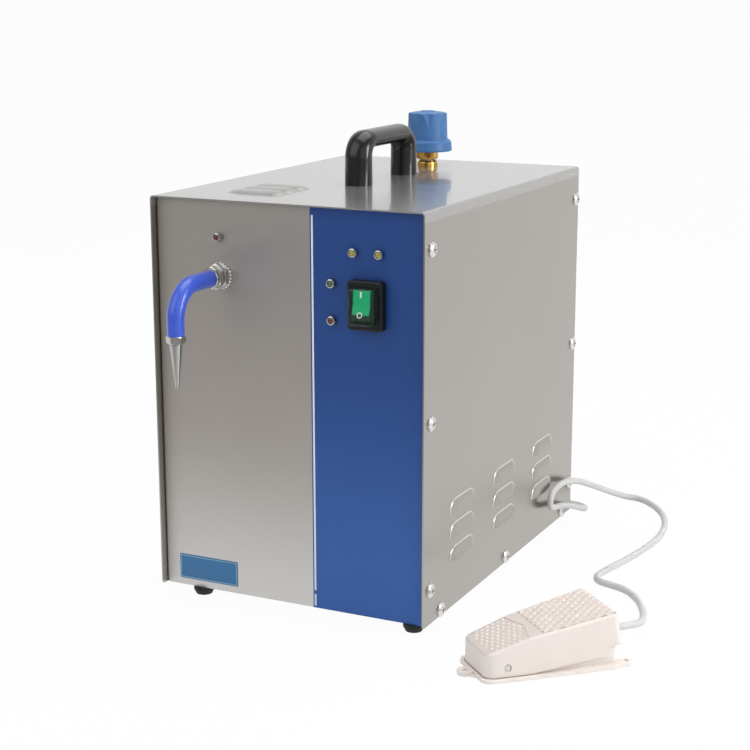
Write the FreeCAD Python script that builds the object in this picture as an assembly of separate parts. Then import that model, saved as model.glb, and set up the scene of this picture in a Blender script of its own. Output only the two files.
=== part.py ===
import FreeCAD, Part
import math
import os

# Jewelry steam cleaner: a boiler cabinet with a front steam nozzle, and a foot switch on its cord.
# Millimetres. +X right, +Y back, +Z up; the origin is the centre of the cabinet's footprint,
# on the counter.

V = FreeCAD.Vector
X, Y, Z = V(1, 0, 0), V(0, 1, 0), V(0, 0, 1)

# ---------------------------------------------------------------- driving dimensions
# cabinet
cabinet_width = 250.0
cabinet_depth = 355.0
cabinet_height = 340.0
foot_height = 7.0
sheet = 1.2
cover_bend = 3.0
panel_recess = 7.0
panel_return = 15.0
panel_bend = 2.0
tray_flange = 14.0
film = 0.3

# louvers: side columns and rows, then the top
side_louver_length = 53.0
side_louver_height = 12.0
side_louver_depth = 2.9
side_louver_columns = 3
side_louver_rows = 3
side_louver_pitch_y = 95.3
side_louver_pitch_z = 20.7
side_louver_first_y = -97.8
side_louver_first_z = 47.8
top_louver_length = 56.0
top_louver_width = 13.0
top_louver_depth = 2.9
top_louver_rows = 3
top_louver_pitch = 20.0
top_louver_x = -52.0
top_louver_first_y = -137.5

# cover screws
screw_radius = 2.5
screw_head_radius = 6.2
screw_head_height = 2.7
screw_length = 8.0
screw_column_inset_front = 13.5
screw_column_inset_rear = 7.4
screw_column_inset_low = 29.3
screw_column_mid_z = 176.8
screw_column_inset_top = 30.3
screw_row_height = 5.5
screw_row_inset_front = 35.2
screw_row_mid_y = 2.8
screw_row_inset_rear = 27.0

# feet
foot_radius = 9.0
foot_toe_radius = 7.0
foot_shoulder = 3.0
foot_recess = 3.5
foot_screw_head_radius = 5.0
foot_screw_head_height = 2.0
foot_screw_length = 8.5
foot_side_inset = 14.0
foot_left_front_inset = 35.0
foot_end_inset = 13.0

# carrying handle
handle_spacing = 92.0
handle_y = 5.5
handle_leg_radius = 12.0
handle_grip_half_width = 12.0
handle_grip_half_thick = 8.0
handle_grip_height = 38.5
handle_elbow = 15.0
handle_screw_radius = 2.5
handle_screw_length = 14.0

# boiler
tank_x = -8.5
tank_rear_gap = 5.0
tank_radius = 70.0
tank_wall = 1.5
tank_head_gap = 70.8
tank_side_height = 130.0
tank_dome = 20.0
jacket_thickness = 11.0
jacket_end_gap = 2.0
jacket_window_half_x = 14.0
jacket_window_half_z = 12.0
stand_leg_width = 22.0
stand_inset = 4.0
stand_thick = 3.0
stand_ring_height = 22.0
stand_ring_drop = 14.0
stand_toe = 20.0
stand_bolt_inset = 10.0
boss_radius = 9.0
boss_height = 14.0

# filler cap
cap_x = -8.5
cap_inset_rear = 54.0
collar_radius = 9.75
collar_height = 5.5
bush_radius = 8.0
bush_bore = 5.05
seal_thickness = 1.0
plug_hex = 18.0
plug_hex_height = 8.0
plug_shank_length = 16.0
knob_flange_radius = 23.3
knob_flange_height = 11.0
knob_base_radius = 19.0
knob_rim_radius = 18.2
knob_body_height = 24.5
knob_crown = 2.0
knob_button_radius = 7.0
knob_shoulder = 4.5
knob_corner = 1.2
knob_flutes = 10
knob_turn = 9.0
knob_flute_width = 9.4
knob_flute_depth = 1.9
knob_flute_length = 13.5

# front controls, measured from the cabinet's centre line and the counter
lamp_amber_places = ((60.8, 311.1), (83.6, 311.1))
lamp_green_places = ((41.1, 285.1),)
lamp_red_places = ((41.4, 255.0), (-63.4, 315.4))
bezel_radius = 4.0
bezel_height = 4.5
lamp_shank_radius = 3.0
lamp_shank_length = 16.0
rocker_x = 73.5
rocker_z = 270.0
rocker_frame_width = 30.8
rocker_frame_height = 40.0
rocker_frame_depth = 7.9
rocker_cut_width = 22.5
rocker_cut_height = 31.0
rocker_swing = 10.0
overlay_left_x = 21.2
badge_left_x = -110.0
badge_width = 57.7
badge_bottom_z = 13.0
badge_height = 22.0
badge_corner = 1.0

# steam outlet and nozzle
outlet_x = -62.7
outlet_z = 283.3
bulkhead_thread_radius = 5.0
washer_radius = 11.75
washer_thick = 3.0
washer_teeth = 24
washer_notch = 1.8
bulkhead_hex = 19.5
bulkhead_hex_thick = 5.5
union_hex = 17.0
union_hex_thick = 6.0
union_collar_radius = 8.0
union_collar_thick = 3.1
sleeve_radius = 7.0
sleeve_reach = 25.4
sleeve_bend = 27.0
sleeve_drop = 10.3
pipe_radius = 3.0
pipe_bore = 2.0
ferrule_hex = 14.0
ferrule_length = 6.0
nozzle_base_radius = 5.2
nozzle_tip_radius = 1.5
nozzle_bore = 0.8
nozzle_length = 36.5

# rear connections
inlet_x = 45.0
inlet_z = 48.0
inlet_body_width = 27.0
inlet_body_height = 19.8
inlet_body_depth = 18.0
gland_x = 95.0
gland_z = 32.0
gland_thread_radius = 6.0
gland_reach = 6.5
drain_x = -85.0
drain_z = 52.0
drain_thread_radius = 6.5
drain_ball_radius = 6.0
drain_lever_length = 50.0
drain_barb_radius = 5.0
drain_barb_length = 18.0

# foot switch, in its own frame: nose at the origin, +X to its rear, +Y to its left
switch_nose = V(188.8, -222.3, 0)
switch_heading = 46.5
pedal_length = 108.0
pedal_nose_half = 23.0
pedal_tail_half = 31.5
pedal_wall = 2.4
pedal_nose_height = 21.4
pedal_nose_corner = 8.0
pedal_tail_corner = 5.0
pedal_edge = 2.2
pedal_break_x = 37.0
pedal_break_height = 32.1
pedal_tail_height = 44.2
pedal_rear_lean = 0.2
skirt_nose_height = 2.9
skirt_rise_x = 35.0
skirt_tail_height = 11.8
skirt_notch_x = 101.0
skirt_notch_height = 18.5
recess_rim = 3.2
recess_depth = 0.6
recess_side_x = 35.5
recess_point_x = 41.5
tread_front_x = 48.0
tread_rear_x = 106.5
ridge_angle = 36.0
ridge_pitch = 5.7
ridge_width = 1.5
ridge_height = 0.7
base_nose_x = -3.0
base_nose_half = 26.8
base_tail_half = 35.3
base_length = 108.5
base_thick = 1.2
base_tail_thick = 3.8
base_rim_height = 2.7
base_rim_tail_height = 4.0
base_nose_corner = 9.0
base_wall = 1.6
base_wall_front_x = 26.0
base_wall_front_height = 8.0
base_wall_rear_height = 21.0
hinge_x = 17.5
hinge_z = 10.0
hinge_pin_radius = 2.25
pin_recess_radius = 3.1
pin_recess_depth = 0.9
pedal_travel = 3.5
ear_thick = 3.0
ear_hole_radius = 2.0
nose_ear_x = -7.5
nose_ear_radius = 6.6
tail_ear_x = 117.5
tail_ear_y = 27.5
tail_ear_radius = 5.0
plunger_x = 45.0
spring_x = 75.0

# clearances
running_fit = 0.05
seat_fit = 0.02
hole_fit = 0.3
swing_gap = 0.8

# cord, coiled behind the cabinet
cord_radius = 3.0
cord_exit_x = 114.0
cord_exit_z = 19.5
coil_x = 10.0
coil_y = 221.0
coil_inner_turn = 30.0
coil_outer_turn = 36.0
coil_layers = 2

# ---------------------------------------------------------------- places worked out from them
half_width = cabinet_width / 2
front_y = -cabinet_depth / 2
rear_y = cabinet_depth / 2
bottom_z = foot_height
top_z = bottom_z + cabinet_height
inner_x = half_width - sheet
inner_top_z = top_z - sheet
panel_y = front_y + panel_recess
panel_back_y = panel_y + sheet
rear_inner_y = rear_y - sheet
tray_top_z = bottom_z + sheet
cap_y = rear_y - cap_inset_rear
tank_y = rear_inner_y - tank_rear_gap - hole_fit - jacket_thickness - tank_radius
tank_crown_z = inner_top_z - tank_head_gap
tank_head_z = tank_crown_z - tank_dome
tank_bottom_z = tank_head_z - tank_side_height
tank_sump_z = tank_bottom_z - tank_dome


# ---------------------------------------------------------------- helpers
def box(x0, x1, y0, y1, z0, z1):
    return Part.makeBox(x1 - x0, y1 - y0, z1 - z0, V(x0, y0, z0))


def rod(radius, length, base, axis=Z):
    return Part.makeCylinder(radius, length, base, axis)


def tube(outer, inner, length, base, axis=Z):
    return rod(outer, length, base, axis).cut(rod(inner, length, base, axis))


def face_of(points):
    return Part.Face(Part.makePolygon(points + points[:1]))


def hexagon(across_flats, length, base, axis=Z, turn=30.0):
    """A hexagonal bar from base along axis."""
    corner = across_flats / math.sqrt(3)
    angles = [math.radians(turn + 60 * i) for i in range(6)]
    bar = face_of([V(corner * math.cos(a), corner * math.sin(a), 0) for a in angles])
    return laid(bar.extrude(V(0, 0, length)), base, axis)


def laid(shape, base, axis):
    """Turns a shape's +Z to axis and moves its origin to base."""
    shape.Placement = FreeCAD.Placement(base, FreeCAD.Rotation(Z, axis)).multiply(shape.Placement)
    return shape


def turned(outline, base, axis=Z):
    """Revolves an outline of (radius, height) points about axis through base."""
    face = face_of([V(r, 0, h) for r, h in outline])
    return laid(face.revolve(V(0, 0, 0), Z, 360), base, axis)


def fused(shapes):
    whole = shapes[0].multiFuse(shapes[1:]) if len(shapes) > 1 else shapes[0]
    return whole.removeSplitter()


def rounded(shape, radius, wanted):
    """Fillets the edges for which wanted(edge) is true."""
    return shape.makeFillet(radius, [e for e in shape.Edges if wanted(e)])


def runs_along(edge, axis):
    if not isinstance(edge.Curve, (Part.Line, Part.LineSegment)):
        return False
    return abs(abs(edge.tangentAt(edge.FirstParameter).dot(axis)) - 1) < 1e-6


def save(name, *solids):
    shape = solids[0] if len(solids) == 1 else Part.makeCompound(list(solids))
    shape.exportStep("parts/%s.step" % name)
    print("%-20s %3d solid(s) %10.1f mm3" % (name, len(shape.Solids), shape.Volume))
    return shape


def bent_path(points, radii):
    """Straight runs joined by tangent arcs: one wire through a list of points."""
    edges = []
    start = points[0]
    for before, corner, after, radius in zip(points, points[1:], points[2:], radii):
        inward = (before - corner).normalize()
        onward = (after - corner).normalize()
        half_turn = (math.pi - inward.getAngle(onward)) / 2
        cut_back = radius * math.tan(half_turn)
        first = corner + inward * cut_back
        last = corner + onward * cut_back
        bisector = (inward + onward).normalize()
        middle = corner + bisector * (radius / math.cos(half_turn) - radius)
        edges.append(Part.LineSegment(start, first).toShape())
        edges.append(Part.Arc(first, middle, last).toShape())
        start = last
    edges.append(Part.LineSegment(start, points[-1]).toShape())
    return Part.Wire(edges)


def swept(path, radius):
    """A round bar along a wire."""
    start = path.Edges[0].Vertexes[0].Point
    along = path.Edges[0].tangentAt(path.Edges[0].FirstParameter)
    ring = Part.Wire(Part.makeCircle(radius, start, along))
    return Part.Wire(path).makePipeShell([ring], True, True)


def dome_drop(radius, dome, distance):
    """How far a shallow dome has fallen below its crown at a distance from its axis."""
    sphere = (radius ** 2 + dome ** 2) / (2 * dome)
    return sphere - math.sqrt(sphere ** 2 - distance ** 2)


# ---------------------------------------------------------------- cabinet sheet metal
def hood(length, height, depth):
    """A louver's pressed hood, and the slot under it, on a sheet whose outside is z = 0.

    It lies along X with its open mouth at y = 0. The closed edge curves down to the sheet at
    y = height, and sweeps a quarter turn round each end."""
    half = length / 2 - height

    def dome(shrink):
        reach = height - shrink
        lift = depth - shrink
        mid = reach / 2
        bulge = Part.Arc(V(half, 0, lift), V(half, mid, lift - dome_drop(reach, lift, mid)),
                         V(half, reach, 0)).toShape()
        section = Part.Face(Part.Wire([Part.makeLine(V(half, 0, -sheet), V(half, 0, lift)), bulge,
                                       Part.makeLine(V(half, reach, 0), V(half, reach, -sheet)),
                                       Part.makeLine(V(half, reach, -sheet), V(half, 0, -sheet))]))
        end = section.revolve(V(half, 0, 0), Z, -90)
        return fused([section.extrude(V(-2 * half, 0, 0)), end, end.mirror(V(0, 0, 0), X)])

    inner = dome(sheet)
    return dome(0).cut(inner), inner


def placed(shape, base, along_x, along_y):
    """Lays a shape with its X along along_x and its Y along along_y at base."""
    normal = along_x.cross(along_y)
    turn = FreeCAD.Rotation(along_x, along_y, normal, "XYZ")
    copy = shape.copy()
    copy.Placement = FreeCAD.Placement(base, turn)
    return copy


def louver_places():
    """Base point, mouth direction and hood direction of every louver."""
    places = []
    for column in range(side_louver_columns):
        for row in range(side_louver_rows):
            y = side_louver_first_y + column * side_louver_pitch_y
            z = side_louver_first_z + row * side_louver_pitch_z
            places.append(("side", V(half_width, y, z), Y, Z))
            places.append(("side", V(-half_width, y, z), -Y, Z))
    for row in range(top_louver_rows):
        y = top_louver_first_y + row * top_louver_pitch + top_louver_width
        places.append(("top", V(top_louver_x, y, top_z), -X, -Y))
    return places


def screw_places():
    """Where each cover screw's head sits on the right side, as (y, z)."""
    columns = (front_y + screw_column_inset_front, rear_y - screw_column_inset_rear)
    heights = (bottom_z + screw_column_inset_low, screw_column_mid_z, top_z - screw_column_inset_top)
    row = (front_y + screw_row_inset_front, screw_row_mid_y, rear_y - screw_row_inset_rear)
    places = [(y, z) for y in columns for z in heights]
    return places + [(y, bottom_z + screw_row_height) for y in row]


def screw_holes(radius):
    """Drills across the cabinet's right and left walls at every cover screw."""
    reach = 3 * sheet
    drills = []
    for y, z in screw_places():
        drills.append(rod(radius, reach, V(half_width - reach + sheet, y, z), X))
        drills.append(rod(radius, reach, V(-half_width - sheet, y, z), X))
    return drills


def cover_cavity():
    """The space inside the folded cover, which the two panels fill from side to side."""
    space = box(-inner_x, inner_x, front_y, rear_y, bottom_z, inner_top_z)
    return rounded(space, cover_bend - sheet,
                   lambda e: runs_along(e, Y) and e.CenterOfMass.z > inner_top_z - sheet)


def cover_shell():
    outer = box(-half_width, half_width, front_y, rear_y, bottom_z, top_z)
    outer = rounded(outer, cover_bend, lambda e: runs_along(e, Y) and e.CenterOfMass.z > top_z - sheet)
    shell = outer.cut(cover_cavity())
    shell = rounded(shell, cover_bend, lambda e: runs_along(e, X) and e.Length < 2 * sheet
                    and e.CenterOfMass.y < 0 and e.CenterOfMass.z < bottom_z + sheet)
    hoods = {"side": hood(side_louver_length, side_louver_height, side_louver_depth),
             "top": hood(top_louver_length, top_louver_width, top_louver_depth)}
    pressed = []
    cuts = screw_holes(screw_radius + hole_fit)
    for kind, base, along_x, along_y in louver_places():
        raised, slot = hoods[kind]
        pressed.append(placed(raised, base, along_x, along_y))
        cuts.append(placed(slot, base, along_x, along_y))
    for y in handle_leg_y():
        cuts.append(rod(handle_screw_radius + hole_fit, 2 * sheet, V(0, y, top_z - 1.5 * sheet)))
    cuts.append(rod(bush_radius + hole_fit, 2 * sheet, V(cap_x, cap_y, top_z - 1.5 * sheet)))
    return save("cover_shell", fused([shell.cut(cuts)] + pressed))


def bent_panel(face_y, inward, z0, z1):
    """A panel with a folded return down each side; inward is +1 or -1 along Y."""
    edge_y = face_y + inward * panel_return
    outer = box(-inner_x, inner_x, min(face_y, edge_y), max(face_y, edge_y), z0, z1)
    inner_y = face_y + inward * sheet
    pocket = box(sheet - inner_x, inner_x - sheet, min(inner_y, edge_y), max(inner_y, edge_y), z0, z1)
    outer = rounded(outer, panel_bend,
                    lambda e: runs_along(e, Z) and abs(e.CenterOfMass.y - face_y) < sheet)
    pocket = rounded(pocket, panel_bend - sheet,
                     lambda e: runs_along(e, Z) and abs(e.CenterOfMass.y - inner_y) < sheet)
    return outer.common(cover_cavity()).cut(pocket).cut(screw_holes(screw_radius + hole_fit))


def lamp_places():
    return lamp_amber_places + lamp_green_places + lamp_red_places


def panel_cuts(y, depth):
    """Holes through the front panel and its film, from y back over depth."""
    cuts = [rod(lamp_shank_radius + hole_fit, depth, V(x, y, z), Y) for x, z in lamp_places()]
    cuts.append(box(rocker_x - rocker_cut_width / 2, rocker_x + rocker_cut_width / 2, y, y + depth,
                    rocker_z - rocker_cut_height / 2, rocker_z + rocker_cut_height / 2))
    cuts.append(rod(bulkhead_thread_radius + hole_fit, depth, V(outlet_x, y, outlet_z), Y))
    return cuts


def front_panel():
    panel = bent_panel(panel_y, 1, bottom_z, inner_top_z)
    return save("front_panel", panel.cut(panel_cuts(panel_y - sheet, 3 * sheet)))


def blue_overlay():
    sheet_of_film = box(overlay_left_x, inner_x - panel_bend, panel_y - film, panel_y,
                        bottom_z, inner_top_z)
    return save("blue_overlay", sheet_of_film.cut(panel_cuts(panel_y - sheet, 3 * sheet)))


def badge_plate():
    plate = box(badge_left_x, badge_left_x + badge_width, panel_y - film, panel_y,
                badge_bottom_z, badge_bottom_z + badge_height)
    return save("badge_plate", rounded(plate, badge_corner, lambda e: runs_along(e, Y)))


def foot_places():
    """The left front foot stands further in than the rest."""
    side_x = half_width - foot_side_inset
    end_y = rear_y - foot_end_inset
    return [(foot_left_front_inset - half_width, -end_y), (side_x, -end_y),
            (-side_x, end_y), (side_x, end_y)]


def base_tray():
    y0 = panel_back_y
    y1 = rear_inner_y
    floor = box(-inner_x, inner_x, y0, y1, bottom_z, tray_top_z)
    flange_y0 = panel_y + panel_return + sheet
    flange_y1 = rear_y - panel_return - sheet
    flanges = [box(x, x + sheet, flange_y0, flange_y1, bottom_z, bottom_z + tray_flange)
               for x in (-inner_x, inner_x - sheet)]
    corners = [box(x, x + sheet, y, y + panel_return, bottom_z, tray_top_z)
               for x in (-inner_x, inner_x - sheet) for y in (y0, y1 - panel_return)]
    tray = fused([floor.cut(corners)] + flanges)
    drills = [rod(screw_radius + hole_fit, 3 * sheet, V(x, y, bottom_z - sheet))
              for x, y in foot_places()]
    return save("base_tray", tray.cut(drills + screw_holes(screw_radius + hole_fit)))


def rear_panel():
    panel = bent_panel(rear_y, -1, bottom_z, inner_top_z)
    y = rear_inner_y - sheet
    cuts = [rod(gland_thread_radius + hole_fit, 3 * sheet, V(gland_x, y, gland_z), Y),
            rod(drain_thread_radius + hole_fit, 3 * sheet, V(drain_x, y, drain_z), Y),
            box(inlet_x - inlet_body_width / 2 - hole_fit, inlet_x + inlet_body_width / 2 + hole_fit,
                y, y + 3 * sheet, inlet_z - inlet_body_height / 2 - hole_fit,
                inlet_z + inlet_body_height / 2 + hole_fit)]
    return save("rear_panel", panel.cut(cuts))


def pan_screw(radius, length, head_radius, head_height, base, axis):
    """A pan-head screw with a cross recess; base is under the head, axis points out of the head."""
    rim = head_height * 0.35
    mid = Part.Arc(V(head_radius, 0, rim), V(head_radius * 0.78, 0, head_height * 0.83),
                   V(head_radius * 0.3, 0, head_height)).toShape()
    outline = Part.Wire([Part.makeLine(V(0, 0, -length), V(radius, 0, -length)),
                         Part.makeLine(V(radius, 0, -length), V(radius, 0, 0)),
                         Part.makeLine(V(radius, 0, 0), V(head_radius, 0, 0)),
                         Part.makeLine(V(head_radius, 0, 0), V(head_radius, 0, rim)), mid,
                         Part.makeLine(V(head_radius * 0.3, 0, head_height), V(0, 0, head_height)),
                         Part.makeLine(V(0, 0, head_height), V(0, 0, -length))])
    screw = Part.Face(outline).revolve(V(0, 0, 0), Z, 360)
    arm = head_radius * 0.5
    slot = head_radius * 0.1
    depth = head_height * 0.55
    cross = [box(-arm, arm, -slot, slot, head_height - depth, 2 * head_height),
             box(-slot, slot, -arm, arm, head_height - depth, 2 * head_height)]
    return laid(screw.cut(cross), base, axis)


def cover_screws():
    screws = []
    for y, z in screw_places():
        for side in (1, -1):
            screws.append(pan_screw(screw_radius, screw_length, screw_head_radius, screw_head_height,
                                    V(side * half_width, y, z), X * side))
    return save("cover_screws", *screws)


def rubber_feet():
    feet = []
    for x, y in foot_places():
        foot = turned([(0, 0), (foot_toe_radius, 0), (foot_radius, foot_height - foot_shoulder),
                       (foot_radius, foot_height), (0, foot_height)], V(x, y, 0))
        foot = foot.cut([rod(screw_radius + hole_fit, foot_height, V(x, y, 0)),
                         rod(foot_screw_head_radius + hole_fit, foot_recess, V(x, y, 0))])
        feet.append(foot)
    return save("rubber_feet", *feet)


def foot_screws():
    screws = [pan_screw(screw_radius, foot_screw_length, foot_screw_head_radius,
                        foot_screw_head_height, V(x, y, foot_recess), -Z) for x, y in foot_places()]
    return save("foot_screws", *screws)


# ---------------------------------------------------------------- carrying handle
def handle_leg_y():
    return (handle_y - handle_spacing / 2, handle_y + handle_spacing / 2)


def handle_section(y, z, along, half_thick):
    """An oval across the handle's centreline, seen along the given direction."""
    across = along.cross(X)
    oval = Part.Ellipse(V(0, 0, 0), handle_grip_half_width, half_thick).toShape()
    ring = Part.Wire([oval])
    ring.Placement = FreeCAD.Placement(V(0, y, z), FreeCAD.Rotation(X, across, along, "XYZ"))
    return ring


def carry_handle():
    """Two round legs that thin, turn through an elbow and meet in a flat oval grip."""
    leg_y = handle_leg_y()[0]
    elbow_z = top_z + handle_grip_height - handle_elbow
    round_leg = handle_leg_radius - 0.01
    thinned = round_leg - 0.3 * (round_leg - handle_grip_half_thick)
    rings = []
    for degrees in (0, 22.5, 45, 67.5, 90):
        a = math.radians(degrees)
        y = leg_y + handle_elbow * (1 - math.cos(a))
        z = elbow_z + handle_elbow * math.sin(a)
        half_thick = thinned - (thinned - handle_grip_half_thick) * degrees / 90
        rings.append(handle_section(y, z, V(0, math.sin(a), math.cos(a)), half_thick))
    leg = Part.makeLoft([handle_section(leg_y, top_z, Z, round_leg), rings[0]], True, True)
    elbow = Part.makeLoft(rings, True)
    grip = Part.Face(rings[-1]).extrude(V(0, handle_y - leg_y - handle_elbow, 0))
    half = fused([leg, elbow, grip])
    other = half.mirror(V(0, handle_y, 0), Y)
    bores = [rod(handle_screw_radius + seat_fit, handle_screw_length, V(0, y, top_z))
             for y in handle_leg_y()]
    return save("carry_handle", fused([half, other]).cut(bores))


def handle_screws():
    screws = [pan_screw(handle_screw_radius, handle_screw_length, screw_head_radius,
                        screw_head_height, V(0, y, inner_top_z), -Z) for y in handle_leg_y()]
    return save("handle_screws", *screws)


# ---------------------------------------------------------------- boiler
def vessel(radius, dome):
    """A closed tank body: a cylinder with a shallow dome at each end."""
    foot = tank_bottom_z
    head = tank_bottom_z + tank_side_height
    mid = radius * 0.55
    fall = dome_drop(radius, dome, mid)
    low = Part.Arc(V(0, 0, foot - dome), V(mid, 0, foot - dome + fall), V(radius, 0, foot))
    high = Part.Arc(V(radius, 0, head), V(mid, 0, head + dome - fall), V(0, 0, head + dome))
    outline = Part.Wire([low.toShape(), Part.makeLine(V(radius, 0, foot), V(radius, 0, head)),
                         high.toShape(), Part.makeLine(V(0, 0, head + dome), V(0, 0, foot - dome))])
    solid = Part.Face(outline).revolve(V(0, 0, 0), Z, 360)
    solid.translate(V(tank_x, tank_y, 0))
    return solid


boss_top_z = tank_crown_z + boss_height
stub_radius = 6.0
stub_length = 10.0
neck_radius = 12.0
neck_bore = bush_radius + seat_fit
steam_boss_forward = 30.0
side_boss_offset = 36.0
side_boss_forward = 4.0
drain_boss_offset = 40.0
low_boss_height = 8.0
steam_boss = V(tank_x, tank_y - steam_boss_forward, boss_top_z)
safety_boss = V(tank_x - side_boss_offset, tank_y - side_boss_forward, boss_top_z)
probe_boss = V(tank_x + side_boss_offset, tank_y - side_boss_forward, boss_top_z)
drain_boss = V(tank_x - drain_boss_offset, tank_y, tank_sump_z - low_boss_height)
heater_boss = V(tank_x, tank_y, tank_sump_z - low_boss_height)
heater_boss_radius = 17.0
heater_shank_radius = 12.0
heater_shank_length = 16.0
heater_plug_hex = 38.0
heater_plug_height = 9.0
heater_head_room = 48.0
heater_loop_half = 7.0
heater_loop_radius = 4.0
heater_pin_radius = 2.0
heater_pin_length = 12.0
probe_tip_height = 46.0
probe_radius = 2.0
probe_sleeve_radius = 4.0
probe_sleeve_height = 14.0
probe_terminal_height = 21.0
gland_hex = 17.0
gland_hex_height = 7.0
thermostat_z = tank_bottom_z + tank_side_height / 2
thermostat_radius = 8.0
thermostat_stand_off = 12.0
thermostat_length = 16.0
thermostat_ear_half_x = 12.0
thermostat_ear_half_z = 4.0
thermostat_ear_front = 8.0
thermostat_ear_thick = 1.5
thermostat_tab_x = 4.0
tab_half_thick = 0.4
tab_half_width = 3.0
tab_length = 8.0


def boiler_tank():
    outside = vessel(tank_radius, tank_dome)
    inside = vessel(tank_radius - tank_wall, tank_dome - tank_wall)
    necks = [rod(boss_radius, 2 * boss_height, b - Z * 2 * boss_height)
             for b in (steam_boss, safety_boss, probe_boss)]
    necks.append(rod(neck_radius, inner_top_z - tank_head_z, V(cap_x, cap_y, tank_head_z)))
    necks.append(rod(boss_radius, 3 * low_boss_height, drain_boss))
    necks.append(rod(heater_boss_radius, heater_shank_length, heater_boss))
    bores = [rod(stub_radius + seat_fit, 3 * boss_height, b - Z * 3 * boss_height)
             for b in (steam_boss, safety_boss, probe_boss)]
    bores.append(rod(neck_bore, inner_top_z - tank_head_z, V(cap_x, cap_y, tank_head_z)))
    bores.append(rod(drain_barb_radius + seat_fit, 3 * low_boss_height, drain_boss))
    bores.append(rod(heater_shank_radius + seat_fit, heater_shank_length, heater_boss))
    return save("boiler_tank", fused([outside] + necks).cut([inside] + bores))


def tank_jacket():
    """Insulation round the tank's side, with a window for the thermostat."""
    base = V(tank_x, tank_y, tank_bottom_z + jacket_end_gap)
    inner = tank_radius + hole_fit
    wrap = tube(inner + jacket_thickness, inner, tank_side_height - 2 * jacket_end_gap, base)
    window = box(tank_x - jacket_window_half_x, tank_x + jacket_window_half_x,
                 tank_y - tank_radius - 2 * jacket_thickness, tank_y,
                 thermostat_z - jacket_window_half_z, thermostat_z + jacket_window_half_z)
    return save("tank_jacket", wrap.cut(window))


def limit_thermostat():
    """A snap-disc thermostat with two ears, its face bedded on the tank's side."""
    front = tank_y - tank_radius - thermostat_stand_off
    can = rod(thermostat_radius, thermostat_length, V(tank_x, front, thermostat_z), Y)
    ear_y = front + thermostat_ear_front
    ears = box(tank_x - thermostat_ear_half_x, tank_x + thermostat_ear_half_x,
               ear_y, ear_y + thermostat_ear_thick,
               thermostat_z - thermostat_ear_half_z, thermostat_z + thermostat_ear_half_z)
    tabs = [box(tank_x + x - tab_half_thick, tank_x + x + tab_half_thick, front - tab_length, front + 1,
                thermostat_z - tab_half_width, thermostat_z + tab_half_width)
            for x in (-thermostat_tab_x, thermostat_tab_x)]
    tank = rod(tank_radius, tank_side_height, V(tank_x, tank_y, tank_bottom_z))
    return save("limit_thermostat", fused([can, ears] + tabs).cut(tank))


def tank_stand():
    """A ring under the tank's edge on four strap legs that are bolted to the tray."""
    outer = tank_radius - stand_inset
    thick = stand_thick
    ring_z = tank_bottom_z - stand_ring_drop
    half = stand_leg_width / 2
    pieces = [tube(outer, outer - thick, stand_ring_height, V(tank_x, tank_y, ring_z))]
    for quarter in range(4):
        leg = box(outer - thick - running_fit, outer - running_fit, -half, half, tray_top_z,
                  ring_z + 2 * thick)
        toe = box(outer - thick - running_fit, outer + stand_toe - thick, -half, half,
                  tray_top_z, tray_top_z + thick)
        toe = toe.cut(rod(screw_radius + hole_fit, thick, V(outer + stand_bolt_inset, 0, tray_top_z)))
        strap = leg.fuse(toe)
        strap.rotate(V(0, 0, 0), Z, 90 * quarter)
        strap.translate(V(tank_x, tank_y, 0))
        pieces.append(strap)
    return save("tank_stand", fused(pieces).cut(vessel(tank_radius, tank_dome)))


def heater_element():
    """An immersion heater: hexagonal plug, shank in the boss, one tall loop, two terminals."""
    half = heater_loop_half
    rise = tank_side_height - heater_head_room
    plug = hexagon(heater_plug_hex, heater_plug_height, heater_boss - Z * heater_plug_height)
    shank = rod(heater_shank_radius, heater_shank_length, heater_boss)
    start = heater_boss + Z * heater_shank_length * 0.75
    rail = Part.Wire([
        Part.makeLine(start + X * half, start + X * half + Z * rise),
        Part.Arc(start + X * half + Z * rise, start + Z * (rise + half),
                 start - X * half + Z * rise).toShape(),
        Part.makeLine(start - X * half + Z * rise, start - X * half)])
    pin_z = -heater_plug_height - heater_pin_length + 1
    pins = [rod(heater_pin_radius, heater_pin_length, heater_boss + V(x, 0, pin_z))
            for x in (-half, half)]
    return save("heater_element", fused([plug, shank, swept(rail, heater_loop_radius)] + pins))


def level_probe():
    """A rod down into the tank on a gland, with an insulating sleeve and a terminal above."""
    gland = hexagon(gland_hex, gland_hex_height, probe_boss)
    stub = rod(stub_radius, stub_length, probe_boss - Z * stub_length)
    tip_z = tank_bottom_z + probe_tip_height
    feeler = rod(probe_radius, boss_top_z - stub_length - tip_z, V(probe_boss.x, probe_boss.y, tip_z))
    sleeve = rod(probe_sleeve_radius, probe_sleeve_height, probe_boss)
    terminal = rod(probe_radius, probe_terminal_height, probe_boss)
    return save("level_probe", fused([gland, stub, feeler, sleeve, terminal]))


def safety_valve():
    stub = rod(stub_radius, stub_length, safety_boss - Z * stub_length)
    body = turned([(0, 0), (7, 0), (7, 18), (5, 20), (5, 24), (6.5, 26), (6.5, 32), (0, 32)],
                  safety_boss)
    return save("safety_valve", fused([stub, hexagon(gland_hex, gland_hex_height, safety_boss), body]))


manifold_half_x = 23.0
manifold_half_y = 11.0
manifold_height = 22.0
steam_pipe_radius = 4.0
steam_pipe_bore = 3.0
socket_depth = 10.0
pressure_x = tank_x + 9
manifold_mid_z = boss_top_z + manifold_height / 2


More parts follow.
